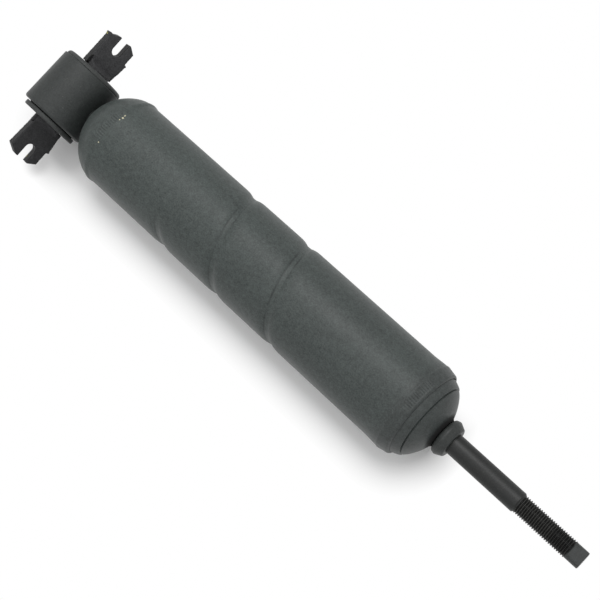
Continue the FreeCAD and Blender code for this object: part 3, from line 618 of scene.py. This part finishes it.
one_end = np.linspace(RAMP_FROM, BARREL_TO, 9)
barrel_y = np.concatenate([-one_end[::-1], one_end])
ramp_share = (np.abs(barrel_y) - RAMP_FROM) / (RAMP_TO - RAMP_FROM)
ramp_height = PIN_R + (FORK_THICK / 2 - PIN_R) * ramp_share[:, None]
barrel_rings = about_x(barrel_y, np.full(len(barrel_y), PIN_R), even_turns(96))
barrel_rings[..., 2] = np.clip(barrel_rings[..., 2], -ramp_height, ramp_height)
barrel_rings = twisted(barrel_rings[..., 1], barrel_rings[..., 0], barrel_rings[..., 2])
pin_barrel = skin("bar_pin_barrel", barrel_rings[:, ::-1])


def pin_space(across, along, height):
    """Point of the pin given by its distances across, along and above the forks' middle plane: moved
    by the shift and the slide, turned by the skew in that plane, then by the twist about Y."""
    across, along = across + PIN_SHIFT, along + PIN_SLIDE
    skewed = across * math.cos(PIN_SKEW) - along * math.sin(PIN_SKEW)
    y = along * math.cos(PIN_SKEW) + across * math.sin(PIN_SKEW)
    return twisted(skewed, y, height)


def fork_outlines(side, slot_r, slot_centre):
    """Matched points of the slot's outline and of the fork's outline, from one prong's tip to the
    other's. On a prong the two are level with each other; round the end of the slot they lie on
    one ray from the slot's centre. The third result is how far the tip's edge is rounded off."""
    root = FORK_FROM - side * PIN_SLIDE
    off = np.radians([90, 60, 30, 0])
    level = FORK_TIP - TIP_EDGE * (1 - np.sin(off))
    level = np.concatenate([level, np.linspace(FORK_TIP - 1.0, slot_centre, 18)])
    inset = np.concatenate([TIP_EDGE * (1 - np.cos(off)), np.zeros(18)])
    chamfer = np.clip((level - FORK_TIP + CHAMFER_ALONG) / CHAMFER_ALONG, 0, 1)
    corner = math.atan2(slot_centre - root, FORK_HALF)
    turns = [math.pi, math.pi + corner, TURN - corner, TURN]
    bend = np.interp(np.linspace(0, 3, 121)[1:-1], [0, 1, 2, 3], turns)
    ray = np.stack([np.cos(bend), np.sin(bend)], -1)
    sideways = FORK_HALF / np.maximum(np.abs(ray[:, 0]), 1e-9)
    reach = np.minimum(sideways, (slot_centre - root) / np.abs(ray[:, 1]))[:, None]
    centre = np.array([0, slot_centre])
    slot_side = np.stack([-slot_r - inset, level], -1)
    edge_side = np.stack([-FORK_HALF + CHAMFER_ACROSS * chamfer + inset, level], -1)
    slot = np.concatenate([slot_side, centre + slot_r * ray, (slot_side * [-1, 1])[::-1]])
    edge = np.concatenate([edge_side, centre + reach * ray, (edge_side * [-1, 1])[::-1]])
    return slot, edge, np.concatenate([inset, np.zeros(len(bend)), inset[::-1]])


def fork_rings(side, outlines, lean, burr_to, spike):
    """Rings of one fork, taken as a bar that runs down one prong, round the end of the slot and up
    the other prong. Each ring is a rectangle with rounded edges between the two outlines. The
    first long side leans out by the two values of lean, at its root and at its tip, and ends in a
    spike; the burr of the other long side grows from its root and breaks off at burr_to."""
    slot, edge, inset = outlines
    across, along = edge.T
    long_side = np.abs(across) > FORK_HALF - 0.1
    share = np.clip((along - FORK_FROM) / (FORK_TIP - FORK_FROM), 0, 1)
    burr = BURR_RISE * smooth((along - BURR_FROM) / BURR_RUN) * smooth((burr_to - along) / BURR_BREAK)
    burr += BURR_TOOTH * np.exp(-(((along - burr_to + 0.7) / 0.5) ** 2)) - BURR_BELOW
    hammered = 0.05 * np.sin(1.7 * along + side) + 0.04 * np.sin(3.9 * along)
    leaning = (lean[0] + (lean[1] - lean[0]) * share) * np.clip(-across / FORK_HALF, 0, 1)
    tip_corner = np.exp(-(((along - FORK_TIP + CHAMFER_ALONG) / SPIKE_WIDTH) ** 2)) * (across < 0)
    moved = long_side * (burr * (across > 0) + hammered * np.sign(across)) - leaning
    edge = np.stack([across + moved - 0.4 * spike * tip_corner, along + spike * tip_corner], -1)
    run = edge - slot
    width = np.linalg.norm(run, axis=1)[:, None]
    run = run / width
    arc = np.radians(np.linspace(0, 90, 5))
    back = np.concatenate([[1.5], 1 - np.sin(arc), [0]]) * FORK_EDGE
    drop = np.concatenate([[0], 1 - np.cos(arc), [1.5]]) * FORK_EDGE
    from_end = np.concatenate([back, back[::-1]]) * np.minimum(1, 0.3 * width / FORK_EDGE)
    height = np.concatenate([FORK_THICK / 2 - drop, -FORK_THICK / 2 + drop[::-1]])
    outer = edge[:, None] - run[:, None] * from_end[..., None]
    inner = slot[:, None] + run[:, None] * from_end[..., None]
    flat = np.concatenate([outer, inner], 1)
    height = np.concatenate([height, -height])[None, :] * np.ones((len(edge), 1))
    height = np.sign(height) * (np.abs(height) - inset[:, None])
    rings = pin_space(flat[..., 0], flat[..., 1] * side, height)
    return rings if side > 0 else rings[:, ::-1]


left_outlines = fork_outlines(1, slot_r=2.95, slot_centre=35.1)
left_rings = fork_rings(1, left_outlines, lean=(1.2, 1.0), burr_to=32.6, spike=SPIKE_RISE)
fork_left = skin("bar_pin_fork_left", left_rings)
right_outlines = fork_outlines(-1, slot_r=2.9, slot_centre=35.2)
right_rings = fork_rings(-1, right_outlines, lean=(0.25, 1.35), burr_to=31.0, spike=0.0)
fork_right = skin("bar_pin_fork_right", right_rings)

# The forks' flat faces are painted lighter than their sides, whose dark is painted shade; the lower fork is
# painted darker than the upper, a painted shade beside the ring
FORGED = (0.0415, 0.042, 0.0436, 1)
FORGED_SIDE_SHADE = (0.006, 0.006, 0.0065, 1)
FACE_FROM = 0.43 * FORK_THICK * MM
FACE_TO = 0.49 * FORK_THICK * MM
ROOT_TONE = (0.027, 0.022)
# Black patches on the upper fork's side at its root, next to the flange, are painted shade.
ROOT_SHADE_BLACK = (0.002, 0.002, 0.002, 1)
ROOT_SHADE_SPOTS = [(-9.1, 20.3, 3.2), (-9.1, 21.5, 3.2), (-9.1, 22.7, 3.1), (-9.2, 23.9, 2.8), (-9.5, 25.1, 1.9)]
ROOT_SHADE_SPOTS += [(-9.5, 26.3, 1.2), (-9.5, 19.8, 1.6), (-9.5, 20.4, -0.2), (-9.5, 21.2, -2.2)]
ROOT_SHADE_R = 1.7
RUBBED = (0.42, 0.40, 0.09, 1)
RUBS = [(-9.6, 39.4, -2.6), (-9.7, 39.0, -1.0), (-6.0, 41.0, -3.2), (2.9, -39.4, -2.3), (2.9, -38.6, -2.8)]
RUB_R = 0.7
forged, forged_tree, forged_shader, forged_coat, forged_place = enamelled(
    "forged_black", FORGED, GREY_DUST, dustiness=0.4, sheen=0.55, peel_height=0.00025, specular=0.18
)
untwisted = {"Vector": forged_place, "Rotation": (0, -PIN_TWIST, 0)}
level_spot = split(forged_tree, node(forged_tree, "ShaderNodeMapping", untwisted).outputs[0])
on_face = ramp(forged_tree, math_node(forged_tree, "ABSOLUTE", level_spot["Z"]), FACE_FROM, FACE_TO)
at_root = ramp(forged_tree, math_node(forged_tree, "ABSOLUTE", level_spot["Y"]), *ROOT_TONE)
# Painted light and shade: the upper fork is lighter than the lower, and at the roots the lower fork is
# painted lighter and the upper darker.
lit_upper_fork = ramp(forged_tree, level_spot["Y"], -0.02, 0.02)
root_light_and_shade = math_node(forged_tree, "MULTIPLY_ADD", lit_upper_fork, -0.40, 0.20)
face_lightness = math_node(forged_tree, "MULTIPLY_ADD", lit_upper_fork, 0.49, 0.53)
face_lightness = math_node(forged_tree, "MULTIPLY_ADD", at_root, root_light_and_shade, face_lightness)
face_share = math_node(forged_tree, "MULTIPLY", on_face, face_lightness)
forged_tree.links.new(mixed(forged_tree, face_share, FORGED_SIDE_SHADE, FORGED), forged_coat.inputs["Paint"])
root_shaded = near_points(forged_tree, forged_place, pin_space(*np.transpose(ROOT_SHADE_SPOTS)), ROOT_SHADE_R)
rubbed = near_points(forged_tree, forged_place, pin_space(*np.transpose(RUBS)), RUB_R)
forged_color = mixed(forged_tree, root_shaded, forged_coat.outputs["Color"], ROOT_SHADE_BLACK)
forged_color = mixed(forged_tree, rubbed, forged_color, RUBBED)
forged_tree.links.new(forged_color, forged_shader.inputs["Base Color"])
for piece in (pin_barrel, fork_left, fork_right):
    piece.data.materials.append(forged)
    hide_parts("bar_pin")
    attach(piece, "cross_pin")

# Head cap: a dome pressed with a stepped shoulder, its skirt inside the tube under the rolled lip.
# The rod comes out through its mouth, round which the dome is painted black, a painted shade beside the
# collar.
HEAD_STEP = HEAD_SEAT + 8.2
HEAD_R = TUBE_R - TUBE_WALL
HEAD_SHEET = 2.0
SKIRT = 10.0
SHOULDER_HEIGHT = 19.0
SHOULDER_KNUCKLE = 16.0
CROWN_HEIGHT = 17.2
CROWN_KNUCKLE = 14.0
MOUTH_R = 7.8
NECK_FROM = 9.6
NECK_RISE = 0.9
STEP_DEPTH = 0.75
STEP_WIDTH = 0.8
SHADE_BLACK = (0.003, 0.003, 0.003, 1)
MOUTH_SHADE_REACH = (0.0120, 0.0085)
UNDER_HEIGHT = CROWN_HEIGHT - HEAD_SHEET
UNDER_KNUCKLE = CROWN_KNUCKLE - HEAD_SHEET
UNDER_R = HEAD_R - HEAD_SHEET
shoulder_x, shoulder_r = pressed_dome(HEAD_SEAT, SHOULDER_HEIGHT, HEAD_R, SHOULDER_KNUCKLE, 80)
crown_x, crown_r = pressed_dome(HEAD_SEAT, CROWN_HEIGHT, HEAD_R, CROWN_KNUCKLE, 80)
under_x, under_r = pressed_dome(HEAD_SEAT, UNDER_HEIGHT, UNDER_R, UNDER_KNUCKLE, 80)
on_shoulder = shoulder_x < HEAD_STEP
on_crown = (crown_x > HEAD_STEP + STEP_WIDTH) & (crown_r > MOUTH_R)
on_under = under_r > MOUTH_R
crown_x = crown_x + NECK_RISE * smooth((NECK_FROM - crown_r) / (NECK_FROM - MOUTH_R))
skirt_x = [HEAD_SEAT - SKIRT]
step_x = [HEAD_STEP + 0.05, HEAD_STEP + 0.2 * STEP_WIDTH]
step_r = np.interp(step_x, crown_x, crown_r) - [0, STEP_DEPTH]
head_x = [skirt_x, shoulder_x[on_shoulder], step_x, crown_x[on_crown], under_x[on_under][::-1], skirt_x]
head_r = [[HEAD_R], shoulder_r[on_shoulder], step_r, crown_r[on_crown], under_r[on_under][::-1]]
head_r = np.concatenate(head_r + [[UNDER_R]])
head_cap = skin("head_cap_dome", about_x(np.concatenate(head_x), head_r, even_turns(160)), joined=True)


def from_axis(tree, place):
    """Distance from the X axis: the length of a place with its X taken out."""
    ring = vector_node(tree, "MULTIPLY", "Vector", {0: place, 1: (0, 1, 1)})
    return vector_node(tree, "LENGTH", "Value", {0: ring})


# The head cap takes the darker end paint, a painted shade.
head_paint, head_tree, head_shader, head_coat, head_place = enamelled("head_enamel", END_PAINT_SHADED, **MATT_COAT)
# Painted shade: the dome turns black towards the mouth beside the collar, and rougher there.
painted_mouth_shade = ramp(head_tree, from_axis(head_tree, head_place), *MOUTH_SHADE_REACH)
head_color = mixed(head_tree, painted_mouth_shade, head_coat.outputs["Color"], SHADE_BLACK)
mouth_shade_roughness = math_node(head_tree, "MULTIPLY_ADD", painted_mouth_shade, 0.4, head_coat.outputs["Roughness"])
head_tree.links.new(head_color, head_shader.inputs["Base Color"])
head_tree.links.new(mouth_shade_roughness, head_shader.inputs["Roughness"])
head_cap.data.materials.append(head_paint)
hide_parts("head_cap")
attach(head_cap, "cylinder")

# Piston rod: ground and hard-chromed bar, turned down outside into the stem.
# The stem has a plain shank, a rolled thread and a flat tang to hold it by; it is painted dark.
ROD_R = 6.35
SPIGOT_R = 4.0
POLE_R = 0.2
SHANK_R = 5.55
LAND_R = SHANK_R + 0.2
THREAD_R = 5.08
THREAD_PITCH = 1.25
THREAD_DEPTH = 0.70
COLLAR_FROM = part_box("stem_collar")[0].x * 1000
COLLAR_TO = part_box("stem_collar")[1].x * 1000
SHANK_TO = COLLAR_TO + 41.2
THREAD_FROM = SHANK_TO + 0.6
THREAD_TO = COLLAR_TO + 73.0
TANG_R = 4.75
TANG_HALF = 3.175
TURNED_EDGE = 0.5
ROD_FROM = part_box("piston_rod")[0].x * 1000
ROD_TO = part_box("piston_rod")[1].x * 1000
ROD_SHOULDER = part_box("intake_stop_washer")[1].x * 1000
SNAP_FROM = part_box("stop_snap_ring")[0].x * 1000
SNAP_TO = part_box("stop_snap_ring")[1].x * 1000
SNAP_R = ROD_R - 0.7
BY_EDGE = 0.3
rod_line = rounded(
    [
        (ROD_FROM, POLE_R),
        (ROD_FROM, SPIGOT_R, TURNED_EDGE),
        (ROD_SHOULDER, SPIGOT_R),
        (ROD_SHOULDER, ROD_R, 0.3),
        (ROD_SHOULDER + 1, ROD_R),
        (SNAP_FROM - BY_EDGE, ROD_R),
        (SNAP_FROM, ROD_R),
        (SNAP_FROM, SNAP_R),
        (SNAP_TO, SNAP_R),
        (SNAP_TO, ROD_R),
        (SNAP_TO + BY_EDGE, ROD_R),
        (COLLAR_FROM - BY_EDGE, ROD_R),
        (COLLAR_FROM, ROD_R),
        (COLLAR_FROM, LAND_R),
        (COLLAR_TO, LAND_R),
        (COLLAR_TO, SHANK_R),
        (COLLAR_TO + BY_EDGE, SHANK_R),
        (SHANK_TO - BY_EDGE, SHANK_R),
        (SHANK_TO, SHANK_R),
        (THREAD_FROM, THREAD_R),
    ]
)
tang_line = rounded([(THREAD_TO + 0.6, TANG_R), (ROD_TO, TANG_R, TURNED_EDGE), (ROD_TO, POLE_R)])
thread_x = np.arange(THREAD_FROM + 0.1, THREAD_TO, THREAD_PITCH / 10)
rod_x = np.concatenate([rod_line[:, 0], thread_x, tang_line[:, 0]])
rod_r = np.concatenate([rod_line[:, 1], np.full(len(thread_x), THREAD_R), tang_line[:, 1]])
rod_turn = even_turns(96)


def thread_cut(x, turn):
    """Depth of the screw thread: a rounded vee that repeats each pitch and climbs one pitch a turn,
    running out over one turn towards the shank and over half a turn at the tip."""
    phase = (x / THREAD_PITCH - turn / TURN) % 1.0
    vee = 1 - np.abs(2 * phase - 1)
    level = smooth((x - THREAD_FROM + 0.4) / THREAD_PITCH) * smooth((THREAD_TO + 0.3 - x) / 0.6)
    return THREAD_DEPTH * level * smooth(vee * 1.1 - 0.05)


rod_rings = about_x(rod_x, rod_r[:, None] - thread_cut(rod_x[:, None], rod_turn[None, :]), rod_turn)
on_tang = rod_x > THREAD_TO
rod_rings[on_tang, :, 2] = np.clip(rod_rings[on_tang, :, 2], -TANG_HALF, TANG_HALF)
rod = skin("piston_rod_turned", rod_rings)

# Fine lines round the axis left by grinding, turning or drawing, as a group
LINE_SCALE = 3000.0
LINE_STRETCH = (1.0, 0.05, 0.05)
LINE_TONE = 0.4
LINE_ROUGHNESS = 0.3
machined, machined_in, machined_out = new_group(
    "machined_lines",
    {"Place": "Vector", "Metal": "Color", "Base Roughness": "Float"},
    {"Color": "Color", "Roughness": "Float"},
)
stretched = {"Vector": machined_in["Place"], "Scale": LINE_STRETCH}
lines = swing(machined, node(machined, "ShaderNodeMapping", stretched).outputs[0], LINE_SCALE, 2.0)
line_tone = math_node(machined, "MULTIPLY_ADD", lines, LINE_TONE, 1.0)
line_roughness = math_node(machined, "MULTIPLY_ADD", lines, LINE_ROUGHNESS, machined_in["Base Roughness"])
machined.links.new(scaled(machined, machined_in["Metal"], line_tone), machined_out["Color"])
machined.links.new(line_roughness, machined_out["Roughness"])

# The paint covers the stem from just below the collar; the rod under it stays bright. In the gap below the
# collar the rod is painted black, a painted shade
CHROME = (0.50, 0.505, 0.515, 1)
CHROME_ROUGHNESS = 0.16
SHANK_PAINT = (0.0108, 0.0117, 0.0113, 1)
THREAD_BLACK = (0.002, 0.002, 0.002, 1)
THREAD_CREST = (0.022, 0.022, 0.020, 1)
TANG_PAINT = (0.0225, 0.0252, 0.0248, 1)
PAINT_FROM = (COLLAR_FROM - 6.5) * MM
THREAD_TONE = ((THREAD_FROM + 0.2) * MM, (THREAD_FROM + 0.8) * MM)
WORN_CREST = ((THREAD_TO - 9) * MM, (THREAD_TO - 12) * MM)
rod_finish, rod_tree, rod_shader, rod_coat, rod_place = enamelled(
    "rod_finish", SHANK_PAINT, BODY_DUST, dustiness=0.2, sheen=0.45, peel_height=0.00008, specular=0.3
)
along_rod = split(rod_tree, rod_place)["X"]
painted = math_node(rod_tree, "GREATER_THAN", along_rod, PAINT_FROM)
past_collar = math_node(rod_tree, "GREATER_THAN", along_rod, COLLAR_FROM * MM)
threaded = ramp(rod_tree, along_rod, *THREAD_TONE)
tanged = math_node(rod_tree, "GREATER_THAN", along_rod, (THREAD_TO + 0.2) * MM)
crest = ramp(rod_tree, from_axis(rod_tree, rod_place), (THREAD_R - THREAD_DEPTH) * MM, THREAD_R * MM)
worn = math_node(rod_tree, "MULTIPLY_ADD", ramp(rod_tree, along_rod, *WORN_CREST), 0.8, 0.2)
crest = math_node(rod_tree, "MULTIPLY", crest, worn)
thread_color = mixed(rod_tree, crest, THREAD_BLACK, THREAD_CREST)
# Painted shade: the rod is black in the gap below the collar.
stem_color = mixed(rod_tree, past_collar, SHADE_BLACK, SHANK_PAINT)
stem_color = mixed(rod_tree, threaded, stem_color, thread_color)
stem_color = mixed(rod_tree, tanged, stem_color, TANG_PAINT)
rod_tree.links.new(stem_color, rod_coat.inputs["Paint"])
chromed = {"Place": rod_place, "Metal": CHROME, "Base Roughness": CHROME_ROUGHNESS}
ground = node(rod_tree, "ShaderNodeGroup", chromed, node_tree=machined)
rod_color = mixed(rod_tree, painted, ground.outputs["Color"], rod_coat.outputs["Color"])
in_gap = math_node(rod_tree, "SUBTRACT", painted, past_collar)
paint_roughness = math_node(rod_tree, "MULTIPLY_ADD", in_gap, 0.5, rod_coat.outputs["Roughness"])
either = {0: painted, 2: ground.outputs["Roughness"], 3: paint_roughness}
rod_roughness = node(rod_tree, "ShaderNodeMix", either, data_type="FLOAT").outputs[0]
rod_tree.links.new(rod_color, rod_shader.inputs["Base Color"])
rod_tree.links.new(math_node(rod_tree, "SUBTRACT", 1.0, painted), rod_shader.inputs["Metallic"])
rod_tree.links.new(rod_roughness, rod_shader.inputs["Roughness"])
rod.data.materials.append(rod_finish)
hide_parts("piston_rod")
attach(rod, "rod")

# Stem collar: a turned ring with rounded edges, pressed on to the rod's shoulder.
# It seats the lower washer of the upper mount and is painted with the stem.
COLLAR_R = 10.1
COLLAR_WIDEST = COLLAR_FROM + 2.64
COLLAR_PAINT = (0.023, 0.026, 0.025, 1)
collar_line = rounded(
    [
        (COLLAR_FROM, LAND_R),
        (COLLAR_FROM, COLLAR_R - 0.8, 1.4),
        (COLLAR_WIDEST, COLLAR_R, 1.6),
        (COLLAR_TO, COLLAR_R - 2.0, 1.2),
        (COLLAR_TO, LAND_R),
    ],
    12,
)
collar = skin("stem_collar_ring", about_x(collar_line[:, 0], collar_line[:, 1], even_turns(128)), joined=True)
collar_paint = enamelled(
    "collar_enamel", COLLAR_PAINT, BODY_DUST, dustiness=0.2, sheen=0.48, peel_height=0.00008, specular=0.35
)[0]
collar.data.materials.append(collar_paint)
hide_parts("stem_collar")
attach(collar, "rod")

# Pressure tube: drawn steel with a honed bore, held between the base valve and the rod guide.
# It is never seen from outside, so it keeps its exact shape and gets the finish of its material.
TUBE_STEEL = (0.55, 0.55, 0.56, 1)


def machined_metal(name, metal, roughness):
    """Material of a turned, drawn or rolled metal with fine lines round the axis."""
    material, tree, shader, place = new_material(name, metallic=1.0)
    inputs = {"Place": place, "Metal": metal, "Base Roughness": roughness}
    link_finish(tree, node(tree, "ShaderNodeGroup", inputs, node_tree=machined), shader)
    return material


def dress(material, *names):
    """Gives pieces that keep their exact shapes their material."""
    for name in names:
        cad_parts[name].data.materials.clear()
        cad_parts[name].data.materials.append(material)


dress(machined_metal("tube_steel", TUBE_STEEL, 0.35), "pressure_tube")

# Base valve: a sintered iron body in the base cap, with a turned stud and a flanged nut through it.
# They hold a thin steel disc and its spring on each side, one for each way of the oil.
SINTERED_IRON = (0.2, 0.2, 0.2, 1)
PORE_SCALE = 1800.0
PORE_TONE = 0.35
FASTENER_STEEL = (0.5, 0.5, 0.5, 1)
SPRING_STEEL = (0.35, 0.35, 0.37, 1)
pores, pores_in, pores_out = new_group(
    "sintered_pores", {"Place": "Vector", "Metal": "Color"}, {"Color": "Color", "Roughness": "Float"}
)
pore_mask = ramp(pores, noise(pores, pores_in["Place"], PORE_SCALE, 3.0), 0.52, 0.68)
pore_color = scaled(pores, pores_in["Metal"], PORE_TONE)
pores.links.new(mixed(pores, pore_mask, pores_in["Metal"], pore_color), pores_out["Color"])
pores.links.new(math_node(pores, "MULTIPLY_ADD", pore_mask, 0.25, 0.5), pores_out["Roughness"])
sintered, sintered_tree, sintered_shader, sintered_place = new_material("sintered_iron", metallic=0.9)
pressed = {"Place": sintered_place, "Metal": SINTERED_IRON}
sinter_finish = node(sintered_tree, "ShaderNodeGroup", pressed, node_tree=pores)
link_finish(sintered_tree, sinter_finish, sintered_shader)
fastener = machined_metal("fastener_steel", FASTENER_STEEL, 0.4)
spring_steel = machined_metal("spring_steel", SPRING_STEEL, 0.3)
dress(sintered, "base_valve_body")
dress(fastener, "base_valve_stud", "base_valve_nut")
dress(spring_steel, "base_intake_plate", "base_intake_spring", "compression_disc", "compression_spring")

# Piston: sintered iron on the rod's spigot under a flanged nut, with a plastic band in its groove.
# The intake plate lifts above it against a finger spring and the rebound disc drops below it.
BAND_PLASTIC = (0.25, 0.2, 0.15, 1)
BAND_PALE = (0.3, 0.25, 0.2, 1)
ring_plastic = enamelled(
    "ring_plastic", BAND_PLASTIC, BAND_PALE, dustiness=0.3, sheen=0.55, peel_height=0.00002
)[0]
dress(sintered, "piston")
dress(ring_plastic, "piston_ring")
dress(fastener, "piston_nut", "intake_stop_washer")
dress(spring_steel, "piston_intake_plate", "piston_intake_spring", "rebound_disc", "rebound_spring")

# Rebound stop: a turned nylon sleeve on the rod that meets the rod guide at full reach.
# A snap ring in a groove of the rod holds it.
NYLON = (0.7, 0.68, 0.6, 1)
NYLON_PALE = (0.75, 0.73, 0.66, 1)
stop_plastic = enamelled("stop_plastic", NYLON, NYLON_PALE, dustiness=0.3, sheen=0.5, peel_height=0.00002)[0]
dress(stop_plastic, "rebound_stop")
dress(spring_steel, "stop_snap_ring")

# Rod guide: sintered iron, spigoted into the pressure tube, with a bronze bush for the rod.
# The rubber seal above it is pushed up into the dome by a spring through a washer.
SEAL_RUBBER = (0.02, 0.02, 0.02, 1)
SEAL_BLOOM = (0.05, 0.05, 0.05, 1)
BRONZE = (0.62, 0.45, 0.25, 1)
seal_rubber = enamelled(
    "seal_rubber", SEAL_RUBBER, SEAL_BLOOM, dustiness=0.3, sheen=0.6, peel_height=0.00003
)[0]
dress(sintered, "rod_guide")
dress(machined_metal("bush_bronze", BRONZE, 0.35), "guide_bush")
dress(seal_rubber, "guide_gasket", "rod_seal")
dress(spring_steel, "seal_spring")
dress(fastener, "seal_washer")

# Floor of a plain studio, pale and matt, that keeps the soft shadow beside the damper lying on it.
# Away from the shadow the camera and reflections see it as plain white. The floor is in metres.
FLOOR_Z = -0.0262
FLOOR_REACH = 3.0
SHADE_FROM_X = 0.0
SHADE_TO_X = 0.245
SHADE_Y = -0.008
SHADE_NEAR = 0.0222
SHADE_FAR = 0.0398
LIT_SIDE = (-0.006, 0.019)
FORK_SHADE = (-0.0025, -0.0385, FLOOR_Z)
FORK_SHADE_REACH = (0.002, 0.0105)
floor_corners = np.array([(-1, -1, 0), (1, -1, 0), (1, 1, 0), (-1, 1, 0)]) * FLOOR_REACH + [0, 0, FLOOR_Z]
floor_mesh = bpy.data.meshes.new("floor")
floor_mesh.from_pydata(floor_corners.tolist(), [], [(0, 1, 2, 3)])
floor = new_object("floor", floor_mesh)
floor_white, floor_tree, floor_shader, floor_place = new_material(
    "floor_white", base_color=(0.9, 0.9, 0.9, 1), roughness=0.9, specular_ior_level=0.0
)


def seen_rays(tree):
    """Share of rays that show the background: those of the camera, of gloss and of glass."""
    path = tree.nodes.new("ShaderNodeLightPath").outputs
    gloss = math_node(tree, "MAXIMUM", path["Is Glossy Ray"], path["Is Transmission Ray"])
    return math_node(tree, "MAXIMUM", path["Is Camera Ray"], gloss)


floor_spot = split(floor_tree, floor_place)
before = math_node(floor_tree, "SUBTRACT", SHADE_FROM_X, floor_spot["X"])
after = math_node(floor_tree, "SUBTRACT", floor_spot["X"], SHADE_TO_X)
past = math_node(floor_tree, "MAXIMUM", math_node(floor_tree, "MAXIMUM", before, after), 0.0)
aside = math_node(floor_tree, "SUBTRACT", floor_spot["Y"], SHADE_Y)
from_line = node(floor_tree, "ShaderNodeCombineXYZ", {0: past, 1: aside}).outputs[0]
from_damper = vector_node(floor_tree, "LENGTH", "Value", {0: from_line})
unshaded = ramp(floor_tree, from_damper, SHADE_NEAR, SHADE_FAR, "LINEAR")
from_fork = vector_node(floor_tree, "DISTANCE", "Value", {0: floor_place, 1: FORK_SHADE})
unshaded = math_node(floor_tree, "MULTIPLY", unshaded, ramp(floor_tree, from_fork, *FORK_SHADE_REACH))
unshaded = math_node(floor_tree, "MAXIMUM", unshaded, ramp(floor_tree, floor_spot["Y"], *LIT_SIDE))
white = node(floor_tree, "ShaderNodeEmission", {"Color": (1, 1, 1, 1), "Strength": 1.0})
white_share = math_node(floor_tree, "MULTIPLY", unshaded, seen_rays(floor_tree))
both = {0: white_share, 1: floor_shader.outputs[0], 2: white.outputs[0]}
shown = node(floor_tree, "ShaderNodeMixShader", both)
floor_tree.links.new(shown.outputs[0], floor_tree.nodes["Material Output"].inputs["Surface"])
floor.data.materials.append(floor_white)


# Studio light: a soft key lamp from one side and a very broad one from above, under an even sky.
# The sky lights the damper at half strength and shows as plain white.
def studio_lamp(name, energy, spread, along):
    """Sun lamp as a soft disc of light, spread degrees across, shining along a direction."""
    light = bpy.data.lights.new(name, "SUN")
    light.energy = energy
    light.angle = math.radians(spread)
    lamp = new_object(name, light)
    lamp.rotation_mode = "QUATERNION"
    lamp.rotation_quaternion = Vector(along).to_track_quat("-Z", "Y")


studio_lamp("key", energy=1.0, spread=30, along=(0.15, -0.44, -0.88))
studio_lamp("top", energy=1.0, spread=90, along=(0.15, -0.1, -1.0))
SKY_LEVEL = 0.5
world = bpy.data.worlds.new("studio")
bpy.context.scene.world = world
world.use_nodes = True
sky = world.node_tree.nodes["Background"]
sky.inputs["Color"].default_value = (1, 1, 1, 1)
sky_seen = seen_rays(world.node_tree)
sky_strength = math_node(world.node_tree, "MULTIPLY_ADD", sky_seen, 1 - SKY_LEVEL, SKY_LEVEL)
world.node_tree.links.new(sky_strength, sky.inputs["Strength"])

# Camera: a long lens above the stem's end, turned so that the damper runs from corner to corner.
# Its right-hand direction is squared to the view before use.
CAMERA_PLACE = Vector((0.38518, -0.02174, 0.66775))
VIEW_ALONG = Vector((-0.3033, 0.03326, -0.95233))
IMAGE_RIGHT = Vector((0.70614, 0.67889, -0.20119))
LENS = 83.89
SENSOR = 36.0
back = -VIEW_ALONG.normalized()
right = (IMAGE_RIGHT - back * IMAGE_RIGHT.dot(back)).normalized()
up = back.cross(right)
camera_data = bpy.data.cameras.new("camera")
camera_data.sensor_width = SENSOR
camera_data.lens = LENS
camera = new_object("camera", camera_data)
camera.matrix_world = Matrix.Translation(CAMERA_PLACE) @ Matrix((right, up, back)).transposed().to_4x4()
bpy.context.scene.camera = camera
bpy.context.scene.view_settings.view_transform = "Standard"
